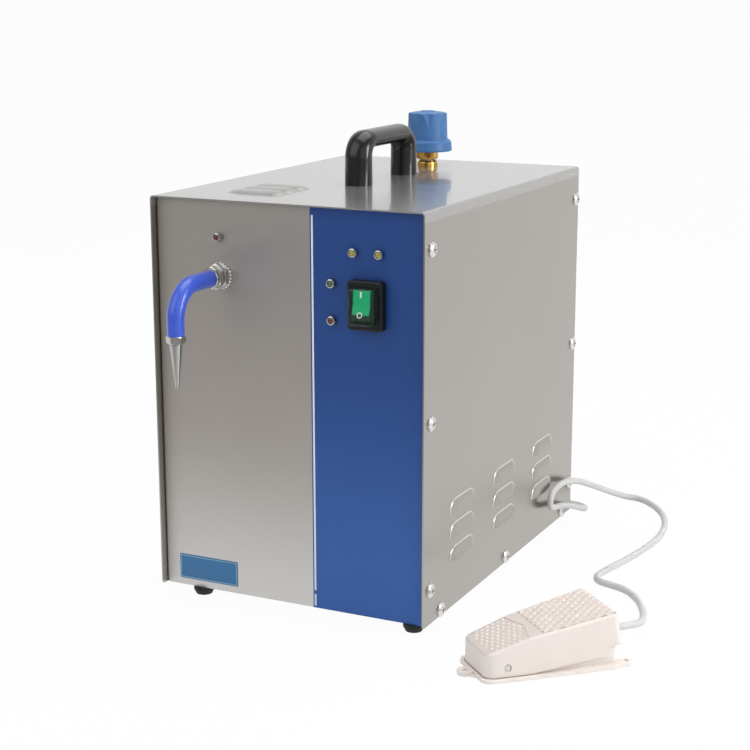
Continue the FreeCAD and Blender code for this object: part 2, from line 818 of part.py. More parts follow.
def steam_manifold():
    """The brass block on the steam boss: one port down, one left to the solenoid, one up."""
    block = box(tank_x - manifold_half_x, tank_x + manifold_half_x, steam_boss.y - manifold_half_y,
                steam_boss.y + manifold_half_y, boss_top_z, boss_top_z + manifold_height)
    block = rounded(block, 2.0, lambda e: runs_along(e, X))
    stub = rod(stub_radius, stub_length, steam_boss - Z * stub_length)
    left = V(tank_x - manifold_half_x, steam_boss.y, manifold_mid_z)
    bores = [rod(steam_pipe_radius + seat_fit, socket_depth, left, X),
             rod(steam_pipe_bore, manifold_half_x, left, X),
             rod(steam_pipe_bore, stub_length + manifold_height / 2, steam_boss - Z * stub_length),
             rod(stub_radius + seat_fit, socket_depth,
                 V(pressure_x, steam_boss.y, boss_top_z + manifold_height - socket_depth))]
    return save("steam_manifold", fused([block, stub]).cut(bores))


def pressure_switch():
    seat = V(pressure_x, steam_boss.y, boss_top_z + manifold_height)
    stub = rod(stub_radius, socket_depth, seat - Z * socket_depth)
    can = turned([(0, 5), (13, 5), (14, 6), (14, 16), (10, 18), (10, 26), (0, 26)], seat)
    return save("pressure_switch", fused([stub, hexagon(gland_hex, gland_hex_height, seat), can]))


solenoid_inset = 82.5
solenoid_y = front_y + solenoid_inset
solenoid_half_y = 18.0
solenoid_half = 11.0
solenoid_corner = 2.5
coil_half_x = 15.0
coil_height = 28.0
coil_corner = 4.0
coil_gap = 1.0
coil_plug_half_x = 9.0
coil_plug_reach = 12.0
coil_plug_inset = 5.0
stem_radius = 5.0
stem_collar = 3.0


def solenoid_body():
    """The valve's brass body and the plunger tube that carries its coil."""
    block = box(outlet_x - solenoid_half, outlet_x + solenoid_half, solenoid_y - solenoid_half_y,
                solenoid_y + solenoid_half_y, outlet_z - solenoid_half, outlet_z + solenoid_half)
    block = rounded(block, solenoid_corner, lambda e: runs_along(e, Y))
    top = V(outlet_x, solenoid_y, outlet_z + solenoid_half)
    stem = rod(stem_radius, coil_height + coil_gap + stem_collar, top)
    collar = rod(stem_radius + stem_collar, coil_gap, top)
    sockets = [rod(steam_pipe_radius + seat_fit, socket_depth,
                   V(outlet_x, solenoid_y - solenoid_half_y, outlet_z), Y),
               rod(steam_pipe_radius + seat_fit, socket_depth,
                   V(outlet_x, solenoid_y + solenoid_half_y, outlet_z), -Y)]
    return save("solenoid_body", fused([block, stem, collar]).cut(sockets))


def solenoid_coil():
    base_z = outlet_z + solenoid_half + coil_gap
    rear = solenoid_y + solenoid_half_y
    can = box(outlet_x - coil_half_x, outlet_x + coil_half_x, solenoid_y - solenoid_half_y, rear,
              base_z, base_z + coil_height)
    can = rounded(can, coil_corner, lambda e: runs_along(e, Z))
    plug = box(outlet_x - coil_plug_half_x, outlet_x + coil_plug_half_x, solenoid_y, rear + coil_plug_reach,
               base_z + coil_plug_inset, base_z + coil_height - coil_plug_inset)
    return save("solenoid_coil", can.fuse(plug).removeSplitter().cut(
        rod(stem_radius + seat_fit, coil_height, V(outlet_x, solenoid_y, base_z))))


def hollow_pipe(points, radii, outer, bore):
    path = bent_path(points, radii)
    return swept(path, outer).cut(swept(path, bore))


pipe_bend = 14.0
pipe_slope_start = 60.0
pipe_slope_end = 35.0


def steam_pipe_inlet():
    start = V(tank_x - manifold_half_x + socket_depth, steam_boss.y, manifold_mid_z)
    end = V(outlet_x, solenoid_y + solenoid_half_y - socket_depth, outlet_z)
    points = [start, V(outlet_x, steam_boss.y, manifold_mid_z),
              V(outlet_x, end.y + pipe_slope_start, manifold_mid_z),
              V(outlet_x, end.y + pipe_slope_end, outlet_z), end]
    return save("steam_pipe_inlet", hollow_pipe(points, [pipe_bend] * 3, steam_pipe_radius,
                                                steam_pipe_bore))


bulkhead_shoulder = 14.0
bulkhead_socket = 6.0
bulkhead_tail_y = panel_back_y + bulkhead_shoulder


def steam_pipe_outlet():
    """Straight pipe from the solenoid into the back of the bulkhead fitting."""
    y0 = bulkhead_tail_y - bulkhead_socket
    y1 = solenoid_y - solenoid_half_y + socket_depth
    return save("steam_pipe_outlet", tube(steam_pipe_radius, steam_pipe_bore, y1 - y0,
                                          V(outlet_x, y0, outlet_z), Y))


# ---------------------------------------------------------------- filler cap
collar_top_z = top_z + collar_height
plug_base_z = collar_top_z + seal_thickness
knob_base_z = plug_base_z + plug_hex_height
plug_stud_radius = 6.0
plug_stud_height = 22.0
plug_chamfer = 1.2
bush_spare = 2.0
seal_width = 1.95


def filler_bush():
    """Brass bush: a rounded collar on the cover and a shank in the tank's neck."""
    shoulder = collar_height * 0.45
    high = Part.Arc(V(collar_radius, 0, collar_height - shoulder),
                    V(collar_radius - shoulder * 0.3, 0, collar_height - shoulder * 0.3),
                    V(collar_radius - shoulder, 0, collar_height)).toShape()
    low = plug_shank_length + bush_spare
    corners = [V(collar_radius - shoulder, 0, collar_height), V(0, 0, collar_height),
               V(0, 0, -low), V(bush_radius, 0, -low), V(bush_radius, 0, 0), V(collar_radius, 0, 0),
               V(collar_radius, 0, collar_height - shoulder)]
    sides = [Part.makeLine(a, b) for a, b in zip(corners, corners[1:])]
    bush = Part.Face(Part.Wire([high] + sides)).revolve(V(0, 0, 0), Z, 360)
    bush.translate(V(cap_x, cap_y, top_z))
    return save("filler_bush", bush.cut(rod(bush_bore, low + collar_height, V(cap_x, cap_y, top_z - low))))


def cap_seal():
    return save("cap_seal", tube(bush_bore + seal_width, bush_bore, seal_thickness,
                                 V(cap_x, cap_y, collar_top_z)))


def cap_plug():
    """Brass plug: hexagon, shank down into the bush, stud up into the knob."""
    base = V(cap_x, cap_y, plug_base_z)
    shank = rod(bush_bore - running_fit, plug_shank_length, base - Z * plug_shank_length)
    stud = rod(plug_stud_radius, plug_stud_height, base + Z * plug_hex_height)
    blank = hexagon(plug_hex, plug_hex_height, base)
    crown = turned([(0, 0), (plug_hex / 2, 0), (plug_hex * 0.6, plug_chamfer),
                    (plug_hex * 0.6, plug_hex_height), (0, plug_hex_height)], base)
    return save("cap_plug", fused([blank.common(crown), shank, stud]))


def knob_flute():
    """A V groove in the knob's rim, widest at the top, that runs out on the way down."""
    rim = knob_flange_height + knob_body_height
    surface = math.sqrt(knob_rim_radius ** 2 - (knob_flute_width / 2) ** 2)
    flank = knob_flute_width / 2 / (surface - knob_rim_radius + knob_flute_depth)
    growth = (knob_base_radius - knob_rim_radius) / knob_body_height
    lean = knob_flute_depth / knob_flute_length + growth
    above = 2 * knob_crown
    root = knob_rim_radius - knob_flute_depth - lean * above
    outside = 3 * knob_flute_depth
    section = face_of([V(root, 0, rim + above), V(root + outside, -flank * outside, rim + above),
                       V(root + outside, flank * outside, rim + above)])
    long = knob_flute_length + 2 * above
    return section.extrude(V(lean * long, 0, -long))


def knob_body():
    """The turned outline: flange with a rounded shoulder, tapering body, crown and button."""
    deck = knob_flange_height
    rim = deck + knob_body_height
    corner = knob_corner
    taper = knob_shoulder / 7
    button = V(knob_button_radius - taper, 0, rim + knob_crown)
    profile = [
        Part.makeLine(V(0, 0, 0), V(knob_flange_radius - taper, 0, 0)),
        Part.makeLine(V(knob_flange_radius - taper, 0, 0), V(knob_flange_radius, 0, corner)),
        Part.makeLine(V(knob_flange_radius, 0, corner), V(knob_flange_radius - taper, 0, deck - knob_shoulder)),
        Part.Arc(V(knob_flange_radius - taper, 0, deck - knob_shoulder),
                 V(knob_flange_radius - 2.6 * taper, 0, deck - corner), V(knob_base_radius, 0, deck)).toShape(),
        Part.makeLine(V(knob_base_radius, 0, deck), V(knob_rim_radius, 0, rim - corner)),
        Part.Arc(V(knob_rim_radius, 0, rim - corner),
                 V(knob_rim_radius - corner * 0.29, 0, rim - corner * 0.29),
                 V(knob_rim_radius - corner, 0, rim)).toShape(),
        Part.Arc(V(knob_rim_radius - corner, 0, rim), V(knob_rim_radius * 0.68, 0, rim + knob_crown * 0.45),
                 V(knob_button_radius, 0, rim + knob_crown - taper)).toShape(),
        Part.makeLine(V(knob_button_radius, 0, rim + knob_crown - taper), button),
        Part.makeLine(button, V(0, 0, rim + knob_crown)),
        Part.makeLine(V(0, 0, rim + knob_crown), V(0, 0, 0))]
    return Part.Face(Part.Wire(profile)).revolve(V(0, 0, 0), Z, 360)


def cap_knob():
    """Moulded knob with shallow flutes round its rim, bored for the plug's stud."""
    flute = knob_flute()
    cuts = [rod(plug_stud_radius + seat_fit, plug_stud_height, V(0, 0, 0))]
    for i in range(knob_flutes):
        groove = flute.copy()
        groove.rotate(V(0, 0, 0), Z, 360 * i / knob_flutes + knob_turn)
        cuts.append(groove)
    knob = knob_body().cut(cuts)
    knob.translate(V(cap_x, cap_y, knob_base_z))
    return save("cap_knob", knob)


# ---------------------------------------------------------------- lamps and switch
lens_radius = 2.4
lens_depth = 6.0
lens_crown = 1.2
lens_step = 0.6
bezel_edge = 1.2


def lamp_bezels():
    """A chrome ring with a rounded lip on each lamp, its threaded tube behind the panel."""
    lip = bezel_radius - lens_radius
    bezels = []
    for x, z in lamp_places():
        ring = turned([(0, 0), (bezel_radius, 0), (bezel_radius, bezel_height - bezel_edge),
                       (bezel_radius - lip * 0.3, bezel_height - bezel_edge / 4),
                       (bezel_radius - lip * 0.7, bezel_height), (0, bezel_height)],
                      V(x, panel_y - film, z), -Y)
        shank = rod(lamp_shank_radius, lamp_shank_length, V(x, panel_y - film, z), Y)
        bore = rod(lens_radius + seat_fit, lamp_shank_length + 2 * bezel_height,
                   V(x, panel_y - film - 2 * bezel_height, z), Y)
        bezels.append(ring.fuse(shank).cut(bore))
    return save("lamp_bezels", *bezels)


def lens(x, z):
    """A lamp's coloured plug with a domed front."""
    base = V(x, panel_y - film + lens_depth, z)
    long = lens_depth + bezel_height - lens_step
    crown = lens_crown
    mid = lens_radius / 2
    side = [Part.makeLine(V(0, 0, 0), V(lens_radius, 0, 0)),
            Part.makeLine(V(lens_radius, 0, 0), V(lens_radius, 0, long)),
            Part.Arc(V(lens_radius, 0, long),
                     V(mid, 0, long + crown - dome_drop(lens_radius, crown, mid)),
                     V(0, 0, long + crown)).toShape(),
            Part.makeLine(V(0, 0, long + crown), V(0, 0, 0))]
    return laid(Part.Face(Part.Wire(side)).revolve(V(0, 0, 0), Z, 360), base, -Y)


def amber_lenses():
    return save("amber_lenses", *[lens(x, z) for x, z in lamp_amber_places])


def green_lens():
    return save("green_lens", *[lens(x, z) for x, z in lamp_green_places])


def red_lenses():
    return save("red_lenses", *[lens(x, z) for x, z in lamp_red_places])


rocker_width = 16.0
rocker_half_height = 11.2
rocker_crest = 9.0
rocker_valley = 7.6
rocker_back = 4.0
rocker_trunnion = 1.5
rocker_trunnion_reach = 1.5
rocker_side_gap = 0.3
rocker_bow = math.hypot(rocker_half_height, rocker_crest)
switch_face_y = panel_y - film
rocker_axis_depth = 3.5
rocker_axis_y = switch_face_y - rocker_frame_depth + rocker_axis_depth
frame_corner = 3.0
frame_edge = 1.2
housing_depth = 27.0
cavity_depth = 9.0
switch_tab_length = 9.0


def rocker_block():
    """The rocker at mid-swing about the X axis: a hollowed face and round ends."""
    y = rocker_axis_y
    half = rocker_half_height + 1
    slope = (rocker_crest - rocker_valley) / rocker_half_height
    tip = rocker_valley + slope * half
    side = face_of([V(0, y - tip, rocker_z + half), V(0, y - rocker_valley, rocker_z),
                    V(0, y - tip, rocker_z - half), V(0, y + rocker_back, rocker_z - half),
                    V(0, y + rocker_back, rocker_z + half)])
    body = side.extrude(V(rocker_width, 0, 0))
    body.translate(V(rocker_x - rocker_width / 2, 0, 0))
    bow = rod(rocker_bow, rocker_width, V(rocker_x - rocker_width / 2, y, rocker_z), X)
    return body.common(bow)


def heating_rocker():
    block = rocker_block()
    long = rocker_width + 2 * (rocker_side_gap + rocker_trunnion_reach)
    pivot = rod(rocker_trunnion, long, V(rocker_x - long / 2, rocker_axis_y, rocker_z), X)
    rocker = fused([block, pivot])
    rocker.rotate(V(rocker_x, rocker_axis_y, rocker_z), X, -rocker_swing)
    return save("heating_rocker", rocker)


def switch_frame():
    """The switch's bezel and its housing behind the panel, open in front for the rocker."""
    y = switch_face_y
    w = rocker_frame_width / 2
    h = rocker_frame_height / 2
    bezel = box(rocker_x - w, rocker_x + w, y - rocker_frame_depth, y, rocker_z - h, rocker_z + h)
    bezel = rounded(bezel, frame_corner, lambda e: runs_along(e, Y))
    bezel = rounded(bezel, frame_edge, lambda e: abs(e.CenterOfMass.y - y + rocker_frame_depth) < seat_fit)
    bw = rocker_cut_width / 2 - hole_fit
    bh = rocker_cut_height / 2 - hole_fit
    housing_y = y + housing_depth
    housing = box(rocker_x - bw, rocker_x + bw, y, housing_y, rocker_z - bh, rocker_z + bh)
    tabs = [box(rocker_x + x - tab_half_thick, rocker_x + x + tab_half_thick, housing_y,
                housing_y + switch_tab_length, rocker_z + z - tab_half_width, rocker_z + z + tab_half_width)
            for x in (-bw / 2, bw / 2) for z in (-bh / 2, bh / 2)]
    cw = rocker_width / 2 + rocker_side_gap
    ch = rocker_bow + rocker_side_gap
    cavity = box(rocker_x - cw, rocker_x + cw, y - rocker_frame_depth, y + cavity_depth,
                 rocker_z - ch, rocker_z + ch)
    long = 2 * (cw + rocker_trunnion_reach + hole_fit)
    pivots = rod(rocker_trunnion + running_fit, long, V(rocker_x - long / 2, rocker_axis_y, rocker_z), X)
    return save("switch_frame", fused([bezel, housing] + tabs).cut([cavity, pivots]))


boot_wall = 0.8
boot_rise = 8.7
boot_margin = 1.8
boot_half_width = 11.0
boot_corner = 3.0
boot_edge = 2.0


def switch_boot():
    """A clear moulded cover on the bezel, domed over the rocker's swing."""
    y = switch_face_y - rocker_frame_depth
    w = rocker_frame_width / 2 - boot_margin
    h = rocker_frame_height / 2 - boot_margin
    cw = boot_half_width
    ch = rocker_bow + rocker_side_gap
    rim = box(rocker_x - w, rocker_x + w, y - boot_wall, y, rocker_z - h, rocker_z + h)
    rim = rounded(rim, boot_corner, lambda e: runs_along(e, Y))

    def bubble(grow, rise):
        block = box(rocker_x - cw - grow, rocker_x + cw + grow, y - rise, y,
                    rocker_z - ch - grow, rocker_z + ch + grow)
        block = rounded(block, boot_corner + grow, lambda e: runs_along(e, Y))
        return rounded(block, boot_edge + grow, lambda e: abs(e.CenterOfMass.y - y + rise) < seat_fit)

    return save("switch_boot", fused([rim, bubble(boot_wall, boot_rise)]).cut(
        bubble(0, boot_rise - boot_wall)))


# ---------------------------------------------------------------- steam outlet and nozzle
washer_front_y = panel_y - washer_thick
bulkhead_front_y = washer_front_y - bulkhead_hex_thick
union_front_y = bulkhead_front_y - union_hex_thick
collar_front_y = union_front_y - union_collar_thick
sleeve_turn_y = front_y - 36.0
sleeve_down_y = sleeve_turn_y - sleeve_bend
sleeve_turn_z = outlet_z - sleeve_bend
ferrule_top_z = sleeve_turn_z - sleeve_drop
nozzle_top_z = ferrule_top_z - ferrule_length


def star_washer():
    """A toothed lock washer on the panel round the outlet."""
    base = V(outlet_x, panel_y, outlet_z)
    disc = turned([(0, 0), (washer_radius, 0), (washer_radius, washer_thick - 1),
                   (washer_radius - 1, washer_thick), (0, washer_thick)], base, -Y)
    notches = []
    for i in range(washer_teeth):
        a = 2 * math.pi * i / washer_teeth
        spoke = V(math.cos(a), 0, math.sin(a))
        notches.append(hexagon(washer_notch, 2 * washer_thick,
                               base + Y * washer_thick / 2 + spoke * washer_radius, -Y))
    bore = rod(bulkhead_thread_radius + seat_fit, 4 * washer_thick, base + Y * washer_thick, -Y)
    return save("star_washer", disc.cut(notches + [bore]))


def bulkhead_fitting():
    """The threaded tube through the panel with a hexagonal shoulder behind it."""
    tail = V(outlet_x, bulkhead_tail_y, outlet_z)
    front = V(outlet_x, union_front_y + 1, outlet_z)
    thread = rod(bulkhead_thread_radius, bulkhead_tail_y - front.y, front, Y)
    shoulder = hexagon(gland_hex, bulkhead_shoulder, V(outlet_x, panel_back_y, outlet_z), Y)
    bores = [rod(steam_pipe_radius + seat_fit, bulkhead_socket, tail, -Y),
             rod(pipe_bore, bulkhead_tail_y - front.y, tail, -Y),
             rod(pipe_radius + seat_fit, bulkhead_socket, front, Y)]
    return save("bulkhead_fitting", fused([thread, shoulder]).cut(bores))


def chamfered_hexagon(across_flats, thick, base, axis):
    """A nut's blank: a hexagon with its corners turned off at both ends."""
    corner = across_flats / math.sqrt(3)
    lathe = turned([(0, 0), (across_flats * 0.49, 0), (corner, thick * 0.17),
                    (corner, thick * 0.83), (across_flats * 0.49, thick), (0, thick)], base, axis)
    return hexagon(across_flats, thick, base, axis).common(lathe)


def bulkhead_nut():
    base = V(outlet_x, washer_front_y, outlet_z)
    nut = chamfered_hexagon(bulkhead_hex, bulkhead_hex_thick, base, -Y)
    return save("bulkhead_nut", nut.cut(rod(bulkhead_thread_radius + seat_fit, bulkhead_hex_thick, base, -Y)))


def union_nut():
    """The union's hexagon with the turned collar that grips the sleeved pipe."""
    base = V(outlet_x, bulkhead_front_y, outlet_z)
    nut = chamfered_hexagon(union_hex, union_hex_thick, base, -Y)
    edge = union_collar_thick / 5
    collar = turned([(0, 0), (union_collar_radius, 0), (union_collar_radius, union_collar_thick - edge),
                     (union_collar_radius - edge, union_collar_thick), (0, union_collar_thick)],
                    V(outlet_x, union_front_y, outlet_z), -Y)
    bores = [rod(bulkhead_thread_radius + seat_fit, union_hex_thick - 1, base, -Y),
             rod(pipe_radius + seat_fit, union_hex_thick + union_collar_thick, base, -Y)]
    return save("union_nut", fused([nut, collar]).cut(bores))


def nozzle_path(start_y, end_z):
    return bent_path([V(outlet_x, start_y, outlet_z), V(outlet_x, sleeve_down_y, outlet_z),
                      V(outlet_x, sleeve_down_y, end_z)], [sleeve_bend])


def nozzle_pipe():
    """The bent steam pipe from the union to the nozzle's ferrule."""
    path = nozzle_path(union_front_y + bulkhead_socket, nozzle_top_z + 1)
    return save("nozzle_pipe", swept(path, pipe_radius).cut(swept(path, pipe_bore)))


def hose_sleeve():
    """The soft sleeve over the hot pipe."""
    path = nozzle_path(collar_front_y, ferrule_top_z)
    return save("hose_sleeve", swept(path, sleeve_radius).cut(swept(path, pipe_radius + seat_fit)))


def nozzle_ferrule():
    base = V(outlet_x, sleeve_down_y, ferrule_top_z)
    nut = chamfered_hexagon(ferrule_hex, ferrule_length, base, -Z)
    return save("nozzle_ferrule", nut.cut(rod(pipe_radius + seat_fit, ferrule_length, base, -Z)))


def steam_nozzle():
    """The polished cone, bored right through, with a spigot up into the ferrule's pipe."""
    base = V(outlet_x, sleeve_down_y, nozzle_top_z)
    cone = turned([(0, 0), (nozzle_base_radius, 0), (nozzle_base_radius, 1.5),
                   (nozzle_tip_radius, nozzle_length), (0, nozzle_length)], base, -Z)
    bores = [rod(nozzle_bore, 2 * nozzle_length, base, -Z),
             turned([(0, 0), (pipe_bore, 0), (nozzle_bore, nozzle_length * 0.7),
                     (0, nozzle_length * 0.7)], base, -Z)]
    return save("steam_nozzle", cone.cut(bores))


# ---------------------------------------------------------------- electrics
board_left_x = 12.0
board_width = 100.0
board_front_y = front_y + 37.5
board_depth = 70.0
board_lift = 8.0
board_thick = 1.6
board_pillar_inset = 5.0
board_pillar_hex = 6.0
transformer_width = 30.0
transformer_depth = 28.0
transformer_height = 24.0
terminal_depth = 9.0
terminal_height = 11.0
capacitor_radius = 5.0
capacitor_height = 14.0
relay_width = 19.0
relay_depth = 26.0
relay_height = 20.0


def control_board():
    """The circuit board on four pillars, with its transformer, capacitors and terminal row."""
    z = tray_top_z + board_lift
    x0 = board_left_x
    x1 = x0 + board_width
    y0 = board_front_y
    y1 = y0 + board_depth
    inset = board_pillar_inset
    pieces = [box(x0, x1, y0, y1, z, z + board_thick)]
    for x in (x0 + inset, x1 - inset):
        for y in (y0 + inset, y1 - inset):
            pieces.append(hexagon(board_pillar_hex, board_lift, V(x, y, tray_top_z)))
    top = z + board_thick
    terminal_y = y0 + 2
    part_y = terminal_y + terminal_depth + 9
    transformer_x = x0 + inset + 3
    pieces.append(box(transformer_x, transformer_x + transformer_width, part_y,
                      part_y + transformer_depth, top, top + transformer_height))
    pieces.append(box(x0 + 2 * inset, x1 - 2 * inset, terminal_y, terminal_y + terminal_depth,
                      top, top + terminal_height))
    first_x = transformer_x + transformer_width + 2 * capacitor_radius
    pieces += [rod(capacitor_radius, capacitor_height,
                   V(first_x + 2.4 * capacitor_radius * i, part_y + capacitor_radius, top))
               for i in range(2)]
    return save("control_board", fused(pieces))


def power_relay():
    top = tray_top_z + board_lift + board_thick
    x1 = board_left_x + board_width - 2.6 * board_pillar_inset
    y1 = board_front_y + board_depth - 1.6 * board_pillar_inset
    body = box(x1 - relay_width, x1, y1 - relay_depth, y1, top, top + relay_height)
    return save("power_relay", rounded(body, 1.0, lambda e: runs_along(e, Z)))


inlet_flange_width = 31.0
inlet_flange_height = 24.0
inlet_flange_thick = 2.5
inlet_flange_corner = 2.0
inlet_side_wall = 1.3
inlet_end_wall = 1.6
inlet_floor = 3.0
inlet_chamfer = 4.0
blade_places = ((-7.0, -2.0), (0.0, 2.0), (7.0, -2.0))
blade_half_thick = 1.0
blade_half_width = 2.0
blade_tail = 8.0
blade_recess = 1.0


def mains_inlet():
    """A snap-in appliance inlet: flange, shrouded socket with three blades, tabs behind."""
    w = inlet_body_width / 2
    h = inlet_body_height / 2
    flange = box(inlet_x - inlet_flange_width / 2, inlet_x + inlet_flange_width / 2, rear_y,
                 rear_y + inlet_flange_thick, inlet_z - inlet_flange_height / 2,
                 inlet_z + inlet_flange_height / 2)
    flange = rounded(flange, inlet_flange_corner, lambda e: runs_along(e, Y))
    body = box(inlet_x - w, inlet_x + w, rear_y - inlet_body_depth, rear_y, inlet_z - h, inlet_z + h)
    sw = w - inlet_side_wall
    sh = h - inlet_end_wall
    socket = box(inlet_x - sw, inlet_x + sw, rear_y - inlet_body_depth + inlet_floor,
                 rear_y + inlet_flange_thick, inlet_z - sh, inlet_z + sh)
    socket = socket.makeChamfer(inlet_chamfer, [e for e in socket.Edges
                                                if runs_along(e, Y) and e.CenterOfMass.z > inlet_z])
    blades = []
    for x, z in blade_places:
        blades.append(box(inlet_x + x - blade_half_thick, inlet_x + x + blade_half_thick,
                          rear_y - inlet_body_depth - blade_tail, rear_y - blade_recess,
                          inlet_z + z - blade_half_width, inlet_z + z + blade_half_width))
    return save("mains_inlet", fused([fused([flange, body]).cut(socket)] + blades))


rear_gland_radius = 9.0
rear_gland_rim = 2.5
rear_gland_thread = 9.0
rear_gland_nut = 4.0


def cord_gland():
    """The foot switch cord's gland: flange, ribbed nose outside, locknut inside."""
    base = V(gland_x, rear_y, gland_z)
    nose = turned([(0, 0), (rear_gland_radius, 0), (rear_gland_radius, rear_gland_rim),
                   (rear_gland_radius * 0.78, rear_gland_rim * 1.2),
                   (cord_radius * 1.5, gland_reach), (0, gland_reach)], base, Y)
    thread = rod(gland_thread_radius, rear_gland_thread, base, -Y)
    nut = hexagon(gland_hex, rear_gland_nut, V(gland_x, rear_inner_y, gland_z), -Y)
    return save("cord_gland", fused([nose, thread, nut]))


# ---------------------------------------------------------------- drain
drain_entry = 9.0
drain_hex = 22.0
drain_nut_thick = 8.0
drain_bulb_radius = 11.0
drain_bulb_length = 24.0
drain_bulb_taper = 3.0
drain_ball_y = rear_y + drain_nut_thick + 13.0
drain_body_end_y = drain_ball_y + drain_bulb_radius
drain_barb_step = 0.6
drain_barb_pitch = 4.5
drain_stem_radius = 3.0
drain_stem_top = 14.0
drain_seat_radius = 6.5
drain_seat_height = 12.5
drain_pipe_bend = 14.0
drain_pipe_run = 50.0
lever_half_width = 5.0
lever_thick = 2.5
lever_overhang = 7.0
lever_grip_start = 16.0
lever_grip_wall = 1.0


def drain_pipe():
    points = [V(drain_boss.x, drain_boss.y, drain_boss.z + 1.5 * low_boss_height),
              V(drain_boss.x, drain_boss.y, drain_z), V(drain_x, drain_boss.y + drain_pipe_run, drain_z),
              V(drain_x, rear_y + drain_nut_thick / 2, drain_z)]
    return save("drain_pipe", hollow_pipe(points, [drain_pipe_bend] * 2, drain_barb_radius, steam_pipe_radius))


def drain_valve_body():
    """A ball valve body: thread through the rear panel, hexagon, bulb, hose barb."""
    start = V(drain_x, rear_y - drain_entry, drain_z)
    face = V(drain_x, rear_y, drain_z)
    ball = V(drain_x, drain_ball_y, drain_z)
    shoulder = drain_bulb_radius - drain_bulb_taper * 2 / 3
    round_end = drain_bulb_length - 2 * drain_bulb_taper
    bulb = turned([(0, 0), (shoulder, 0), (drain_bulb_radius, drain_bulb_taper),
                   (drain_bulb_radius, round_end), (shoulder, round_end + drain_bulb_taper),
                   (drain_seat_radius, drain_bulb_length), (0, drain_bulb_length)],
                  face + Y * (drain_nut_thick - 1), Y)
    barb_base = V(drain_x, drain_body_end_y - 1, drain_z)
    root = drain_barb_radius - drain_barb_step
    outline = [(0, 0), (root, 0)]
    for i in (1, 2, 3):
        outline += [(root, drain_barb_pitch * (i - 0.2)), (drain_barb_radius, drain_barb_pitch * i)]
    barb = turned(outline + [(root, drain_barb_length), (0, drain_barb_length)], barb_base, Y)
    seat = rod(drain_seat_radius, drain_seat_height, ball, Z)
    solid = fused([rod(drain_thread_radius, drain_entry + 1, start, Y),
                   hexagon(drain_hex, drain_nut_thick, face, Y), bulb, barb, seat])
    cuts = [rod(drain_barb_radius + seat_fit, drain_entry + drain_nut_thick / 2, start, Y),
            rod(pipe_radius, drain_entry + drain_body_end_y - rear_y + drain_barb_length, start, Y),
            Part.makeSphere(drain_ball_radius + running_fit, ball),
            rod(drain_stem_radius + running_fit, drain_stem_top + drain_ball_radius, ball, Z)]
    return save("drain_valve_body", solid.cut(cuts))


def drain_lever():
    """The drilled ball, its stem and the flat lever, shut: the lever lies across the flow."""
    ball = V(drain_x, drain_ball_y, drain_z)
    across = rod(pipe_radius, 2 * drain_bulb_radius, ball - X * drain_bulb_radius, X)
    pearl = Part.makeSphere(drain_ball_radius, ball).cut(across)
    stem = rod(drain_stem_radius, drain_stem_top, ball + Z * (drain_ball_radius - drain_stem_radius / 2))
    deck = drain_z + drain_seat_height + 1
    plate = box(drain_x - lever_overhang, drain_x + drain_lever_length, drain_ball_y - lever_half_width,
                drain_ball_y + lever_half_width, deck, deck + lever_thick)
    plate = rounded(plate, lever_half_width * 0.96, lambda e: runs_along(e, Z))
    half = lever_half_width + lever_grip_wall
    grip = box(drain_x + lever_grip_start, drain_x + drain_lever_length + lever_grip_wall,
               drain_ball_y - half, drain_ball_y + half, deck - lever_grip_wall,
               deck + lever_thick + lever_grip_wall)
    grip = rounded(grip, lever_half_width, lambda e: runs_along(e, Z))
    return save("drain_lever", fused([pearl, stem, plate, grip]))


# ---------------------------------------------------------------- foot switch
switch_frame_placement = FreeCAD.Placement(switch_nose, FreeCAD.Rotation(Z, switch_heading))


def switch_point(x, y, z):
    return switch_frame_placement.multVec(V(x, y, z))


def save_at_switch(name, shape):
    shape.Placement = switch_frame_placement.multiply(shape.Placement)
    return save(name, shape)


def pedal_half(x):
    return pedal_nose_half + (pedal_tail_half - pedal_nose_half) * x / pedal_length


def pedal_top(x):
    if x < pedal_break_x:
        return pedal_nose_height + (pedal_break_height - pedal_nose_height) * x / pedal_break_x
    run = (x - pedal_break_x) / (pedal_length - pedal_break_x)
    return pedal_break_height + (pedal_tail_height - pedal_break_height) * run


def tapered(x0, x1, half0, half1, height, nose_radius, tail_radius):
    """An upright block on the floor with a tapering plan and rounded corners."""
    plan = face_of([V(x0, -half0, 0), V(x1, -half1, 0), V(x1, half1, 0), V(x0, half0, 0)])
    block = plan.extrude(V(0, 0, height))
    middle = (x0 + x1) / 2
    block = rounded(block, nose_radius, lambda e: runs_along(e, Z) and e.CenterOfMass.x < middle)
    return rounded(block, tail_radius, lambda e: runs_along(e, Z) and e.CenterOfMass.x > middle)


def side_slab(points, reach):
    """A side outline of (x, z) points carried across the switch's width."""
    return face_of([V(x, -reach, z) for x, z in points]).extrude(V(0, 2 * reach, 0))


switch_reach = 2 * base_tail_half
switch_head_room = 1.5 * pedal_tail_height


def pedal_slab(drop, low):
    """Everything between low, front to rear, and the pedal's top lowered by drop."""
    front = low[0][0]
    rear = low[-1][0]
    top = [(rear, pedal_top(rear) - drop), (pedal_break_x, pedal_break_height - drop),
           (front, pedal_top(front) - drop)]
    return side_slab(low + top, switch_reach)


